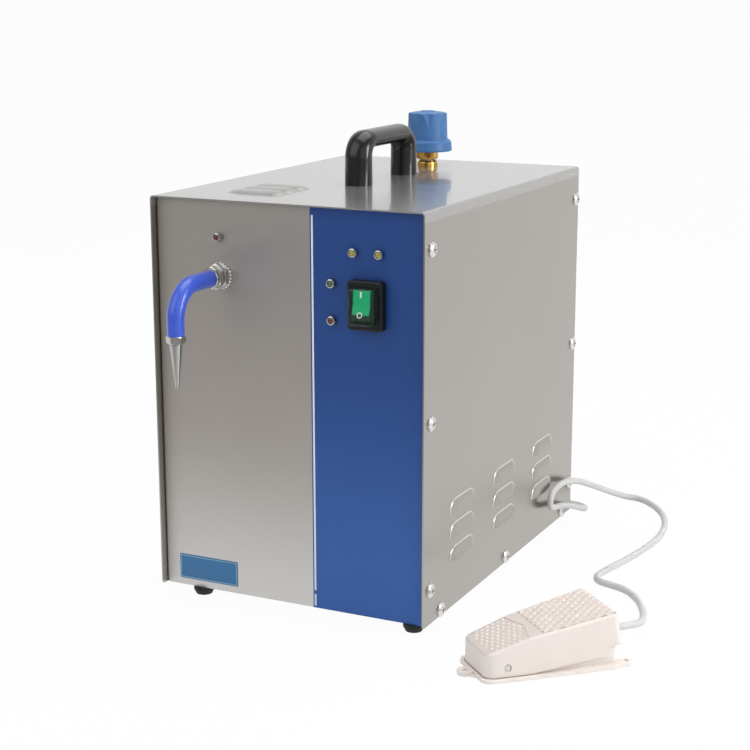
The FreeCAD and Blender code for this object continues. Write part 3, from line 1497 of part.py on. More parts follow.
def pedal_wedge(inset, drop, low):
    """The pedal's body, or its hollow when inset by the wall; its rear leans outwards."""
    long = pedal_length + pedal_tail_height * pedal_rear_lean
    plan = face_of([V(inset, inset - pedal_half(inset), 0), V(long, inset - pedal_half(long), 0),
                    V(long, pedal_half(long) - inset, 0), V(inset, pedal_half(inset) - inset, 0)])
    block = rounded(plan.extrude(V(0, 0, switch_head_room)), pedal_nose_corner - inset,
                    lambda e: runs_along(e, Z) and e.CenterOfMass.x < pedal_break_x)

    def rear_at(z):
        return pedal_length - inset + (pedal_tail_height - z) * pedal_rear_lean

    front = side_slab([(0, 0), (rear_at(0), 0), (rear_at(switch_head_room), switch_head_room),
                       (0, switch_head_room)], switch_reach)
    wedge = block.common(front).common(pedal_slab(drop, low))
    corners = [e for e in wedge.Edges if e.CenterOfMass.x > skirt_notch_x
               and abs(e.CenterOfMass.y) > pedal_nose_half and e.BoundBox.ZLength > pedal_nose_height]
    return wedge.makeFillet(pedal_tail_corner - inset, corners)


def stud_recess():
    """The sunk field on the nose's slope; it ends rearwards in a point."""
    half = pedal_half(recess_rim) - recess_rim
    side = pedal_half(recess_side_x) - recess_rim
    field = face_of([V(recess_rim, -half, 0), V(recess_side_x, -side, 0), V(recess_point_x, 0, 0),
                     V(recess_side_x, side, 0), V(recess_rim, half, 0)])
    field = rounded(field.extrude(V(0, 0, switch_head_room)), pedal_nose_corner - recess_rim,
                    lambda e: runs_along(e, Z) and e.CenterOfMass.x < 2 * recess_rim)
    low = [(x, pedal_top(x) - recess_depth) for x in (0, pedal_break_x, pedal_length)]
    return field.common(pedal_slab(-pedal_wall, low))


def tread():
    """The diamond lattice of low ridges over the rear two thirds of the pedal's top."""
    middle = (tread_front_x + tread_rear_x) / 2
    reach = math.hypot(tread_rear_x - middle, pedal_tail_half)
    count = int(reach / ridge_pitch)
    bars = []
    for lean in (ridge_angle, -ridge_angle):
        for i in range(-count, count + 1):
            bar = box(-reach, reach, i * ridge_pitch - ridge_width / 2,
                      i * ridge_pitch + ridge_width / 2, 0, switch_head_room)
            bar.rotate(V(0, 0, 0), Z, lean)
            bar.translate(V(middle, 0, 0))
            bars.append(bar)
    front = pedal_half(tread_front_x) - recess_rim
    rear = pedal_half(tread_rear_x) - recess_rim
    zone = face_of([V(tread_front_x, -front, 0), V(tread_rear_x, -rear, 0),
                    V(tread_rear_x, rear, 0), V(tread_front_x, front, 0)])
    zone = zone.extrude(V(0, 0, switch_head_room))
    low = [(x, pedal_top(x) - pedal_wall / 2) for x in (0, pedal_break_x, pedal_length)]
    return fused(bars).common(zone).common(pedal_slab(-ridge_height, low))


def pedal_cover():
    """The hollow pedal: wedge shell, stud field, lattice tread, hinge and spring bosses, rib."""
    wall = pedal_wall
    low = [(-wall, skirt_nose_height), (skirt_rise_x, skirt_nose_height),
           (pedal_length + pedal_tail_height, skirt_tail_height
            + (skirt_tail_height - skirt_nose_height) * pedal_tail_height / (pedal_length - skirt_rise_x))]
    outer = pedal_wedge(0, 0, low)
    outer = rounded(outer, pedal_edge, lambda e: len(e.Vertexes) == 2
                    and all(abs(v.Z - pedal_top(v.X)) < seat_fit for v in e.Vertexes)
                    and abs(e.CenterOfMass.x - pedal_break_x) > seat_fit)
    inner = pedal_wedge(wall, wall, [(-wall, 0), (pedal_length + pedal_tail_height, 0)])
    half = pedal_half(hinge_x)
    parts = [outer.cut([inner, stud_recess()]), tread(),
             rod(spring_boss_radius, pedal_top(spring_x) - wall / 2 - spring_top_z,
                 V(spring_x, 0, spring_top_z)),
             box(plunger_x - rib_half_x, plunger_x + rib_half_x, -rib_half_y, rib_half_y,
                 plunger_top_z + hole_fit, pedal_top(plunger_x) - wall / 2)]
    for side in (1, -1):
        parts.append(rod(hinge_boss_radius, hinge_boss_length + wall / 2,
                         V(hinge_x, side * (half - wall - hinge_boss_length), hinge_z), Y * side))
    notch = cord_neck_radius + swing_gap
    drop = math.radians(pedal_travel) * (cord_exit_x - hinge_x)
    rear = pedal_length + pedal_tail_height
    cuts = [rod(hinge_pin_radius + running_fit, 4 * half, V(hinge_x, -2 * half, hinge_z), Y),
            box(skirt_notch_x, rear, -switch_reach, switch_reach, 0, skirt_notch_height),
            box(block_rear_x, rear, -notch, notch, 0, cord_exit_z + notch + drop)]
    cuts += [rod(pin_recess_radius, 2 * pedal_wall,
                 V(hinge_x, side * (half - pin_recess_depth), hinge_z), Y * side) for side in (1, -1)]
    return save_at_switch("pedal_cover", fused(parts).cut(cuts))


hinge_boss_radius = 5.0
hinge_boss_length = 2.0
spring_boss_radius = 6.0
rib_half_x = 2.0
rib_half_y = 4.0
cord_neck_radius = 5.0
block_rear_x = base_length
block_length = 13.0
block_front_x = block_rear_x - block_length
block_half_y = 20.0
block_height = 18.0
gland_socket = 6.0
switch_top_z = 12.5
plunger_top_z = 15.0
plunger_radius = 1.5
plunger_foot = 5.0
switch_body_half_x = 10.0
switch_body_half_y = 3.2
switch_body_corner = 1.0
switch_terminal_reach = 6.0
switch_terminal_half = 1.5
switch_terminal_thick = 0.6
switch_terminal_pitch = 2.5
spring_foot_z = 4.0
spring_top_z = 27.0
spring_radius = 5.0
spring_wire = 1.6
spring_lip = 2.0
post_half = 5.0
post_thick = 4.0
base_floor_x = 60.0
base_floor_z = 2.0


def base_walls():
    """Upright walls that close the gap under the pedal's rising skirt."""
    gap = pedal_wall + swing_gap
    front = pedal_half(base_wall_front_x) - gap
    rear = pedal_half(base_length) - gap
    corner = pedal_tail_corner - pedal_wall
    outer = tapered(base_wall_front_x, base_length, front, rear, base_wall_rear_height, corner, corner)
    inner = tapered(base_wall_front_x - base_wall, base_length - base_wall, front - base_wall,
                    rear - base_wall, base_wall_rear_height, corner / 2, corner / 2)
    side = [(base_wall_front_x, 0), (base_length, 0), (base_length, base_wall_rear_height),
            (base_wall_front_x, base_wall_front_height)]
    return outer.cut(inner).common(side_slab(side, switch_reach))


def base_rim():
    """The raised lip round the base, just outside the pedal."""
    low = [(base_nose_x, 0), (base_length, 0), (base_length, base_rim_tail_height),
           (base_floor_x, base_rim_height), (base_nose_x, base_rim_height)]
    outside = tapered(base_nose_x, base_length, base_nose_half, base_tail_half, pedal_tail_height,
                      base_nose_corner, pedal_tail_corner)
    inside = tapered(-swing_gap, 2 * base_length, pedal_half(0) + swing_gap,
                     pedal_half(2 * base_length) + swing_gap, pedal_tail_height,
                     pedal_nose_corner + swing_gap, pedal_tail_corner)
    return outside.cut(inside).common(side_slab(low, switch_reach))


def tail_ear(side):
    """The lug at one rear corner: a bar from the base and a round end."""
    root_x = base_length - tail_ear_radius
    y = side * tail_ear_y
    bar = box(root_x, tail_ear_x, y - tail_ear_radius, y + tail_ear_radius, 0, ear_thick)
    return bar.fuse(rod(tail_ear_radius, ear_thick, V(tail_ear_x, y, 0)))


def hinge_post(side):
    """The post inside the pedal that carries one end of the hinge pin."""
    post_y = pedal_half(hinge_x) - pedal_wall - hinge_boss_length - hole_fit
    y0, y1 = sorted((side * post_y, side * (post_y - post_thick)))
    post = box(hinge_x - post_half, hinge_x + post_half, y0, y1, 0, hinge_z)
    return post.fuse(rod(post_half, post_thick, V(hinge_x, y0, hinge_z), Y))


def pedal_base():
    """The base plate: raised lip, walls, three ears, hinge posts, spring seat, cord block."""
    plan = tapered(base_nose_x, base_length, base_nose_half, base_tail_half, pedal_tail_height,
                   base_nose_corner, pedal_tail_corner)
    side = [(base_nose_x, 0), (base_length, 0), (base_length, base_tail_thick),
            (base_floor_x, base_floor_z), (0, base_thick), (base_nose_x, base_thick)]
    nose_y = base_nose_half / 2
    ear = face_of([V(base_nose_x + 1, -nose_y, 0), V(base_nose_x + 1, nose_y, 0),
                   V(nose_ear_x, nose_ear_radius, 0), V(nose_ear_x, -nose_ear_radius, 0)])
    ear_end = rod(nose_ear_radius, ear_thick, V(nose_ear_x, 0, 0))
    behind = box(base_nose_x, pedal_length, -nose_y, nose_y, base_thick, 2 * ear_thick)
    block = box(block_front_x, block_rear_x, -block_half_y, block_half_y, 0, block_height)
    parts = [plan.common(side_slab(side, switch_reach)), base_rim(), base_walls(),
             ear.extrude(V(0, 0, base_thick)), ear_end.cut(behind), block,
             rod(cord_neck_radius, block_length, V(block_front_x, 0, cord_exit_z), X),
             rod(spring_radius + spring_lip, spring_foot_z, V(spring_x, 0, 0)),
             rod(spring_radius - spring_wire - running_fit, 2 * spring_foot_z, V(spring_x, 0, 0))]
    cuts = [rod(hinge_pin_radius + seat_fit, 2 * switch_reach, V(hinge_x, -switch_reach, hinge_z), Y),
            rod(ear_hole_radius, 4 * ear_thick, V(nose_ear_x, 0, -ear_thick)),
            rod(cord_radius + gland_wall, gland_socket, V(block_rear_x - gland_socket, 0, cord_exit_z), X)]
    for side_sign in (1, -1):
        parts += [tail_ear(side_sign), hinge_post(side_sign)]
        cuts.append(rod(ear_hole_radius, 4 * ear_thick, V(tail_ear_x, side_sign * tail_ear_y, -ear_thick)))
    return save_at_switch("pedal_base", fused(parts).cut(cuts))


gland_wall = 0.5


def pedal_gland():
    """The moulded strain relief on the cord, plugged into the base's block."""
    neck = cord_exit_x - block_rear_x
    plug = cord_radius + gland_wall
    relief = turned([(0, -gland_socket), (plug - seat_fit, -gland_socket), (plug - seat_fit, 0),
                     (cord_neck_radius - gland_wall / 2, 0), (cord_neck_radius - gland_wall, neck * 0.4),
                     (plug, neck), (0, neck)], V(block_rear_x, 0, cord_exit_z), X)
    return save_at_switch("pedal_gland", relief)


def pedal_pin():
    half = pedal_half(hinge_x)
    pin = rod(hinge_pin_radius, 2 * half, V(hinge_x, -half, hinge_z), Y)
    pin = pin.makeChamfer(hinge_pin_radius / 5, [e for e in pin.Edges if isinstance(e.Curve, Part.Circle)])
    return save_at_switch("pedal_pin", pin)


def pedal_spring():
    """The return spring's envelope: a waved sleeve between the base's seat and the pedal's boss."""
    waves = 8
    long = spring_top_z - spring_foot_z - 2 * running_fit
    crest = spring_radius
    root = spring_radius - spring_wire / 2
    bore = spring_radius - spring_wire
    outline = [(bore, 0), (crest, 0)]
    for i in range(waves):
        outline.append((root, long * (i + 0.5) / waves))
        outline.append((crest, long * (i + 1) / waves))
    outline.append((bore, long))
    spring = turned(outline, V(spring_x, 0, spring_foot_z + running_fit))
    return save_at_switch("pedal_spring", spring)


def micro_switch():
    """A snap-action switch on the base, its terminals to the rear, bored for the plunger."""
    x0 = plunger_x - switch_body_half_x
    x1 = plunger_x + switch_body_half_x
    y = switch_body_half_y
    body = box(x0, x1, -y, y, base_floor_z, switch_top_z)
    body = rounded(body, switch_body_corner,
                   lambda e: runs_along(e, Y) and e.CenterOfMass.z > base_floor_z + switch_body_corner)
    tabs = []
    for i in range(3):
        z = base_floor_z + switch_terminal_pitch * i + 1
        tabs.append(box(plunger_x, x1 + switch_terminal_reach, -switch_terminal_half, switch_terminal_half,
                        z, z + switch_terminal_thick))
    bore = rod(plunger_radius + running_fit, switch_top_z, V(plunger_x, 0, base_floor_z + plunger_foot / 2))
    return save_at_switch("micro_switch", fused([body] + tabs).cut(bore))


def micro_plunger():
    foot = base_floor_z + plunger_foot
    return save_at_switch("micro_plunger", rod(plunger_radius, plunger_top_z - foot, V(plunger_x, 0, foot)))


# ---------------------------------------------------------------- cord
floor = cord_radius
coil_stub = 24.0
coil_exit = V(coil_x + coil_stub, coil_y - coil_outer_turn, cord_radius * (2 * coil_layers - 1))
coil_entry = V(coil_x + coil_stub, coil_y + coil_outer_turn, floor)

lead_points = [
    switch_point(cord_exit_x, 0, cord_exit_z), switch_point(cord_exit_x + 15, 0, cord_exit_z),
    V(283.5, -113, 16.5), V(282, -92, 10.5), V(276.8, -70, 4.4), V(270, -48, floor),
    V(258, -25, floor), V(243, -8, floor), V(227, -1.5, floor), V(213, 2.5, floor),
    V(207.5, 14, floor), V(210, 31, floor), V(216.5, 58, floor), V(223, 94, floor),
    V(227, 128, floor), V(226, 160, floor), V(218, 194, floor), V(204, 222, floor),
    V(188, 240.5, floor), V(173, 252, floor), V(160, 250.5, 3.5), V(152, 239, 9),
    V(145.5, 222, 17), V(139.5, 201, 26.5), V(135.5, 178, 36.5), V(134, 154, 43.8),
    V(133.6, 132, 48), V(133.8, 115.5, 49), V(133.6, 99.4, 46.8), V(133.4, 94.8, 38.5),
    V(133.2, 98.7, 31.5), V(133, 116, 28), V(133, 138, 23.5), V(134, 161, 16),
    V(136.5, 182, 7.5), V(135, 197, floor), V(124.5, 206, floor), V(107, 206.5, floor),
    V(87, 201, floor), V(71, 192, 5), V(55, coil_exit.y, coil_exit.z), coil_exit]

tail_points = [
    V(gland_x, rear_y + gland_reach, gland_z), V(gland_x, 199, gland_z), V(93.8, 213, 25.5),
    V(90.5, 226, 14.5), V(84.5, 238.5, 5.5), V(74, 249.5, floor), V(57, coil_entry.y, floor),
    coil_entry]


def bend_radii(name, points):
    """Each corner's arc: 0.45 of its shorter run over the tangent of half the turn."""
    radii = []
    for before, corner, after in zip(points, points[1:], points[2:]):
        turn = (corner - before).getAngle(after - corner)
        shorter = min((corner - before).Length, (after - corner).Length)
        radii.append(0.45 * shorter / math.tan(turn / 2))
    print(name, "bend radii", [round(r, 1) for r in radii])
    return radii


def cord_run(name, points):
    path = bent_path(points, bend_radii(name, points))
    cord = swept(path, cord_radius)
    expected = math.pi * cord_radius ** 2 * path.Length
    print(name, "length %.0f, volume against section times length %.4f"
          % (path.Length, cord.Volume / expected))
    return save(name, cord)


def cord_lead():
    return cord_run("cord_lead", lead_points)


def cord_tail():
    return cord_run("cord_tail", tail_points)


def cord_coil():
    """The outer shape of the coiled length, with the two ends that leave it."""
    base = V(coil_x, coil_y, 0)
    high = 2 * cord_radius * coil_layers
    ring = tube(coil_outer_turn + cord_radius, coil_inner_turn - cord_radius, high, base)
    ring = rounded(ring, cord_radius - 0.1, lambda e: isinstance(e.Curve, Part.Circle))
    ends = [rod(cord_radius, coil_stub, end - X * coil_stub, X) for end in (coil_exit, coil_entry)]
    return save("cord_coil", fused([ring] + ends))


# ---------------------------------------------------------------- the whole object
os.makedirs("parts", exist_ok=True)

SUB_PARTS = [
    cover_shell, front_panel, blue_overlay, badge_plate, base_tray, rear_panel, rubber_feet,
    foot_screws, cover_screws, carry_handle, handle_screws,
    filler_bush, cap_seal, cap_plug, cap_knob,
    boiler_tank, tank_jacket, tank_stand, heater_element, level_probe, limit_thermostat,
    steam_manifold, safety_valve, pressure_switch, steam_pipe_inlet, solenoid_body, solenoid_coil,
    steam_pipe_outlet,
    lamp_bezels, amber_lenses, green_lens, red_lenses, switch_frame, heating_rocker, switch_boot,
    star_washer, bulkhead_fitting, bulkhead_nut, union_nut, nozzle_pipe, hose_sleeve,
    nozzle_ferrule, steam_nozzle,
    control_board, power_relay, mains_inlet, cord_gland, drain_pipe, drain_valve_body, drain_lever,
    pedal_base, pedal_cover, pedal_pin, pedal_spring, micro_switch, micro_plunger, pedal_gland,
    cord_lead, cord_coil, cord_tail]

for sub_part in SUB_PARTS:
    sub_part()
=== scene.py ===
import math

import bmesh
import bpy
from mathutils import Matrix, Vector


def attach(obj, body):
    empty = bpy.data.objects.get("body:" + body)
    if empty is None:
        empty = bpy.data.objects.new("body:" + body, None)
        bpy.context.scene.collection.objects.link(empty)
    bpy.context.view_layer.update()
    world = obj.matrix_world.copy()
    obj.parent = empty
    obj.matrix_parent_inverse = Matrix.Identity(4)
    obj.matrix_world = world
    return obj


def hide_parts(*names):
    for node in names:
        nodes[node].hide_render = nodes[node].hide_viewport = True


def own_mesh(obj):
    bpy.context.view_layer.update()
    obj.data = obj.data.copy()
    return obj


# Looks of the jewelry steam cleaner. Metres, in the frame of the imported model:
# +X right, +Y back, +Z up, origin on the counter under the middle of the cabinet.

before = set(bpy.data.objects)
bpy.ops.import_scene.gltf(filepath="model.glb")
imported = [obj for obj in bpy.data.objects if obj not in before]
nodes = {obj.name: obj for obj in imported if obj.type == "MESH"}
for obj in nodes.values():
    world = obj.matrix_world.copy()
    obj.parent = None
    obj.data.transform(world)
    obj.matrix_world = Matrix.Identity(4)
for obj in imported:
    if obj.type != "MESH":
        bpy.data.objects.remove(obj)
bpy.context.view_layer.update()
X_AXIS = Vector((1, 0, 0))
Y_AXIS = Vector((0, 1, 0))
Z_AXIS = Vector((0, 0, 1))


# ---------------------------------------------------------------- shader arithmetic
class Signal:
    """A shader socket that Python's arithmetic works on, one Math node per step."""

    def __init__(self, finish, socket):
        self.finish = finish
        self.socket = socket

    def math(self, operation, first, second=0.0):
        node = self.finish.node("ShaderNodeMath", {"operation": operation}, {0: first, 1: second})
        return Signal(self.finish, node.outputs[0])

    def __add__(self, other):
        return self.math("ADD", self, other)

    def __sub__(self, other):
        return self.math("SUBTRACT", self, other)

    def __rsub__(self, other):
        return self.math("SUBTRACT", other, self)

    def __mul__(self, other):
        return self.math("MULTIPLY", self, other)

    __radd__ = __add__
    __rmul__ = __mul__

    def size(self):
        """The value without its sign."""
        return self.math("ABSOLUTE", self)

    def sine(self):
        return self.math("SINE", self)

    def power(self, exponent):
        return self.math("POWER", self, exponent)

    def higher(self, other):
        """The higher of two values."""
        return self.math("MAXIMUM", self, other)

    def ramp(self, low, high):
        """0 up to low, 1 from high on, smooth between."""
        node = self.finish.node("ShaderNodeMapRange", {"interpolation_type": "SMOOTHSTEP"},
                                {"Value": self, "From Min": low, "From Max": high})
        return Signal(self.finish, node.outputs[0])


class Finish:
    """One procedural material: a Principled shader and what feeds it."""

    def __init__(self, name, **settings):
        self.material = bpy.data.materials.new(name)
        self.material.use_nodes = True
        self.tree = self.material.node_tree
        self.shader = self.tree.nodes["Principled BSDF"]
        self.paint(**settings)

    def node(self, kind, settings=None, values=None):
        """Adds a node, sets it up, then feeds its sockets with values or links."""
        node = self.tree.nodes.new(kind)
        for name, value in (settings or {}).items():
            setattr(node, name, value)
        for socket, value in (values or {}).items():
            self.feed(node.inputs[socket], value)
        return node

    def feed(self, socket, value):
        if isinstance(value, Signal):
            self.tree.links.new(value.socket, socket)
        elif isinstance(value, bpy.types.NodeSocket):
            self.tree.links.new(value, socket)
        else:
            socket.default_value = value

    def paint(self, **values):
        """Feeds the shader's sockets, named with _ for their spaces."""
        for socket, value in values.items():
            self.feed(self.shader.inputs[socket.replace("_", " ")], value)
        return self

    def place(self, scale=(1, 1, 1), turn=(0, 0, 0), centre=(0, 0, 0)):
        """Object coordinates in metres, centred, turned and scaled."""
        spot = self.node("ShaderNodeTexCoord").outputs["Object"]
        moved = self.node("ShaderNodeVectorMath", {"operation": "SUBTRACT"}, {0: spot, 1: centre})
        return self.node("ShaderNodeMapping", {}, {"Vector": moved.outputs[0], "Rotation": turn,
                                                   "Scale": scale}).outputs[0]

    def axes(self, vector=None):
        """The three parts of a place, each as a signal."""
        split = self.node("ShaderNodeSeparateXYZ", {}, {0: vector or self.place()})
        return [Signal(self, socket) for socket in split.outputs]

    def noise(self, scale, detail=2.0, roughness=0.5, vector=None):
        node = self.node("ShaderNodeTexNoise", {}, {"Vector": vector or self.place(), "Scale": scale,
                                                    "Detail": detail, "Roughness": roughness})
        return Signal(self, node.outputs[0])

    def mix(self, factor, first, second):
        """A colour between two colours."""
        node = self.node("ShaderNodeMix", {"data_type": "RGBA"}, {0: factor, 6: first, 7: second})
        return node.outputs[2]

    def tone(self, factor, first, second):
        """A colour between two hex colours."""
        return self.mix(factor, linear(first), linear(second))

    def bump(self, height, distance, strength=1.0):
        node = self.node("ShaderNodeBump", {}, {"Height": height, "Distance": distance,
                                                "Strength": strength})
        return self.paint(Normal=node.outputs[0])


def linear(hex_code):
    """An sRGB hex colour as the linear RGBA that a shader takes."""
    parts = [int(hex_code[i:i + 2], 16) / 255 for i in (1, 3, 5)]
    return tuple(p / 12.92 if p < 0.04045 else ((p + 0.055) / 1.055) ** 2.4 for p in parts) + (1,)


# The pedal's place on the counter, and its top: its height at the nose, the break in its slope,
# the slopes before and after that, and its half width at the nose with what it gains per metre.
PEDAL_SPOT = (0.1888, -0.2223, 0)
PEDAL_TURN = math.radians(46.5)
PEDAL_NOSE_HEIGHT = 0.0214
PEDAL_BREAK_X = 0.037
PEDAL_BREAK_HEIGHT = 0.0321
PEDAL_RISE = 0.0107 / 0.037
PEDAL_TAIL_RISE = 0.0121 / 0.071
PEDAL_TAIL_BASE = PEDAL_BREAK_HEIGHT - PEDAL_TAIL_RISE * PEDAL_BREAK_X
PEDAL_NOSE_HALF = 0.023
PEDAL_SPREAD = 0.0085 / 0.108


# ---------------------------------------------------------------- finishes
# Heights between which the cover's sides turn into its top, and the front's foot loses its pale tone,
# which is painted light from the floor.
COVER_BEND = (0.3375, 0.3395)
PANEL_PAINTED_FLOOR_LIGHT = (0.01, 0.17)
FILM_PAINTED_FLOOR_LIGHT = (0.03, 0.24)

# Radians per metre of the panel's emboss, and of the rings that a lathe leaves on brass.
LINEN_WAVES = 5200
LATHE_RINGS = 9000

# Where the lit part of the rocker comes up, goes out again at its top, and ends at its right.
ROCKER_LIT_FOOT = (0.2636, 0.2646)
ROCKER_LIT_HEAD = (0.2824, 0.2834)
ROCKER_LIT_RIGHT = (0.0800, 0.0808)
ROCKER_DARK = (0.001, 0.018, 0.008, 1)
ROCKER_GLOW = (0.0, 0.54, 0.20, 1)

# The clear boot's density seen square on, what it gains where it turns away, and how late.
BOOT_FACE = 0.16
BOOT_EDGE = 0.55
BOOT_FALL = 1.5
BOOT_TINTS = ((0.010, 0.030, 0.018, 1), (0.018, 0.045, 0.028, 1))

# Painted shade lies in the low places of the pedal's top: in from its sides, and between two depths.
RECESS_SHADE_SIDE = 0.0024
RECESS_SHADE_SIDE_SOFT = (0, 0.0008)
RECESS_SHADE_TOP = (0.0001, 0.0008)
RECESS_SHADE_FLOOR = (-0.0012, -0.0010)


def mottled(name, dark, light, grain, sheen, spread=0.0, relief=None, **settings):
    """A finish that varies over one noise, whose grain is its scale, detail and roughness."""
    finish = Finish(name, **settings)
    mottle = finish.noise(*grain)
    finish.paint(Base_Color=finish.tone(mottle, dark, light),
                 Roughness=sheen + mottle * spread if spread else sheen)
    if relief:
        distance, strength = relief
        finish.bump(mottle, distance, strength)
    return finish.material


def glowing_lens_and_mark(name, deep, pale, glow):
    """A tinted lamp lens with a faint glow of its own; on the rocker's printed marks the glow is painted
    light.
    """
    return mottled(name, deep, pale, grain=(700.0,), sheen=0.12, Specular_IOR_Level=0.6,
                   Coat_Weight=0.6, Coat_Roughness=0.05, Emission_Color=linear(pale),
                   Emission_Strength=glow)


def satin_cover():
    """Satin stainless sheet, with the top polished until it mirrors what stands on it."""
    finish = Finish("satin_cover", Coat_Roughness=0.05)
    on_top = finish.axes()[2].ramp(*COVER_BEND)
    brushing = finish.noise(scale=1.0, detail=3, roughness=0.6,
                            vector=finish.place(scale=(2500, 60, 2500)))
    clouds = finish.noise(scale=6.0)
    side_tone = finish.tone(clouds, "#a7a39d", "#afaca6")
    finish.paint(Base_Color=finish.mix(on_top, side_tone, linear("#9d9b98")),
                 Metallic=1 - on_top * 0.5, Roughness=0.22 + brushing * 0.03 + clouds * 0.04,
                 Coat_Weight=on_top * 0.55)
    return finish.bump(brushing, distance=0.00001, strength=0.08).material


def linen_panel():
    """Embossed stainless front: a very fine crosshatch pressed in the sheet."""
    finish = Finish("linen_panel", Metallic=0.9)
    x, _, z = finish.axes(finish.place(turn=(0, math.radians(45), 0)))
    weave = (x * LINEN_WAVES).sine() * (z * LINEN_WAVES).sine()
    clouds = finish.noise(scale=9.0, detail=3, roughness=0.6)
    # Paler toward the foot of the front: painted light from the floor.
    above_painted_floor_light = finish.axes()[2].ramp(*PANEL_PAINTED_FLOOR_LIGHT)
    sheet_tone = finish.tone(clouds, "#aea7a0", "#b8b2ab")
    finish.paint(Base_Color=finish.mix(above_painted_floor_light, linear("#cfcdca"), sheet_tone),
                 Roughness=0.3 + clouds * 0.06 + weave * 0.04)
    return finish.bump(weave, distance=0.0001, strength=0.6).material


def plain_steel():
    """Plain steel, drawn along its length."""
    finish = Finish("plain_steel", Metallic=0.9)
    grain = finish.noise(scale=1.0, vector=finish.place(scale=(60, 1800, 1800)))
    finish.paint(Base_Color=linear("#b4b2ae"), Roughness=0.32 + grain * 0.14)
    return finish.bump(grain, distance=0.00004, strength=0.2).material


def printed_film():
    """Blue printed film with a satin surface."""
    finish = Finish("printed_film", Specular_IOR_Level=0.35, Coat_Weight=0.06, Coat_Roughness=0.3)
    clouds = finish.noise(scale=5.0)
    peel = finish.noise(scale=900.0)
    # Paler toward the foot of the film: painted light from the floor.
    above_painted_floor_light = finish.axes()[2].ramp(*FILM_PAINTED_FLOOR_LIGHT)
    print_tone = finish.tone(clouds, "#1c4385", "#20498b")
    finish.paint(Base_Color=finish.mix(above_painted_floor_light, linear("#2f5ca4"), print_tone),
                 Roughness=0.38 + peel * 0.08)
    return finish.bump(peel, distance=0.00002, strength=0.3).material


def knob_blue():
    """Moulded blue nylon, a little chalky in places."""
    finish = Finish("knob_blue", Specular_IOR_Level=0.45)
    bloom = finish.noise(scale=60.0, detail=3, roughness=0.6)
    grain = finish.noise(scale=2200.0)
    finish.paint(Base_Color=finish.tone(bloom, "#3868a2", "#4a7fb4"),
                 Roughness=0.36 + bloom * 0.1 + grain * 0.08)
    return finish.bump(grain, distance=0.00003, strength=0.25).material


def turned_brass():
    """Machined brass: tool rings and patches of darker tarnish."""
    finish = Finish("turned_brass", Metallic=1.0)
    rings = (finish.axes()[2] * LATHE_RINGS).sine()
    tarnish = finish.noise(scale=70.0).ramp(0.45, 0.75)
    finish.paint(Base_Color=finish.tone(tarnish, "#dcb15c", "#85592a"),
                 Roughness=0.18 + tarnish * 0.16)
    return finish.bump(rings, distance=0.00003, strength=0.25).material


def rocker_green():
    """Translucent green rocker lit from inside, dark toward its two ends and at its right edge."""
    finish = Finish("rocker_green", Specular_IOR_Level=0.3, Roughness=0.3, Emission_Strength=0.8)
    x, _, z = finish.axes()
    lit = z.ramp(*ROCKER_LIT_FOOT) * (1 - z.ramp(*ROCKER_LIT_HEAD)) * (1 - x.ramp(*ROCKER_LIT_RIGHT))
    depth = finish.noise(scale=140.0)
    finish.paint(Base_Color=finish.tone(depth, "#08301c", "#0c3a23"),
                 Emission_Color=finish.mix(lit, ROCKER_DARK, ROCKER_GLOW))
    return finish.material


def clear_vinyl():
    """A thin clear cover with a green cast: see-through in front, denser where it turns away."""
    finish = Finish("clear_vinyl", Specular_IOR_Level=0.7, Roughness=0.05, Coat_Weight=1.0,
                    Coat_Roughness=0.03)
    facing = finish.node("ShaderNodeLayerWeight", {}, {"Blend": 0.35}).outputs["Facing"]
    haze = finish.noise(scale=300.0)
    finish.paint(Base_Color=finish.mix(haze, *BOOT_TINTS),
                 Alpha=Signal(finish, facing).power(BOOT_FALL) * BOOT_EDGE + BOOT_FACE)
    return finish.material


def ivory_base_painted_light():
    """Ivory moulded casing with a fine spark texture, paler than the pedal's top: painted light on the
    base in the pedal's shadow.
    """
    finish = Finish("ivory_base_painted_light", Specular_IOR_Level=0.35)
    spark = finish.noise(scale=3200.0, roughness=0.6)
    dust = finish.noise(scale=25.0, detail=3, roughness=0.55)
    finish.paint(Base_Color=finish.tone(dust, "#ebe2da", "#f0e8e1"), Roughness=0.55 + spark * 0.14)
    return finish.bump(spark, distance=0.00006, strength=0.45).material


def ivory_painted_recess_shade():
    """The pedal's ivory, with painted shade in the low places of its top."""
    finish = Finish("ivory_painted_recess_shade", Specular_IOR_Level=0.35)
    along, across, up = finish.axes(finish.place(turn=(0, 0, -PEDAL_TURN), centre=PEDAL_SPOT))
    nose_lift = up - (along * PEDAL_RISE + PEDAL_NOSE_HEIGHT)
    tail_lift = up - (along * PEDAL_TAIL_RISE + PEDAL_TAIL_BASE)
    lift = nose_lift.higher(tail_lift)
    half_width = along * PEDAL_SPREAD + (PEDAL_NOSE_HALF - RECESS_SHADE_SIDE)
    inside = (half_width - across.size()).ramp(*RECESS_SHADE_SIDE_SOFT)
    # Painted shade: darker where the top is low, in from its sides.
    low = (1 - lift.ramp(*RECESS_SHADE_TOP)) * lift.ramp(*RECESS_SHADE_FLOOR) * inside
    dust = finish.noise(scale=25.0, detail=3, roughness=0.55)
    spark = finish.noise(scale=3200.0, roughness=0.6)
    unshaded = finish.tone(dust, "#e3d9d2", "#eae1da")
    finish.paint(Base_Color=finish.mix(low, unshaded, linear("#d8ccc5")), Roughness=0.5 + spark * 0.14)
    return finish.bump(spark, distance=0.00005, strength=0.4).material


def board_lacquer():
    """Green solder lacquer with paler tracks under it."""
    finish = Finish("board_lacquer", Coat_Weight=0.3)
    tracks = finish.noise(scale=300.0, detail=1, roughness=0.4).ramp(0.48, 0.52)
    finish.paint(Base_Color=finish.tone(tracks, "#0f4a28", "#1b6a3b"), Roughness=0.35)
    return finish.material


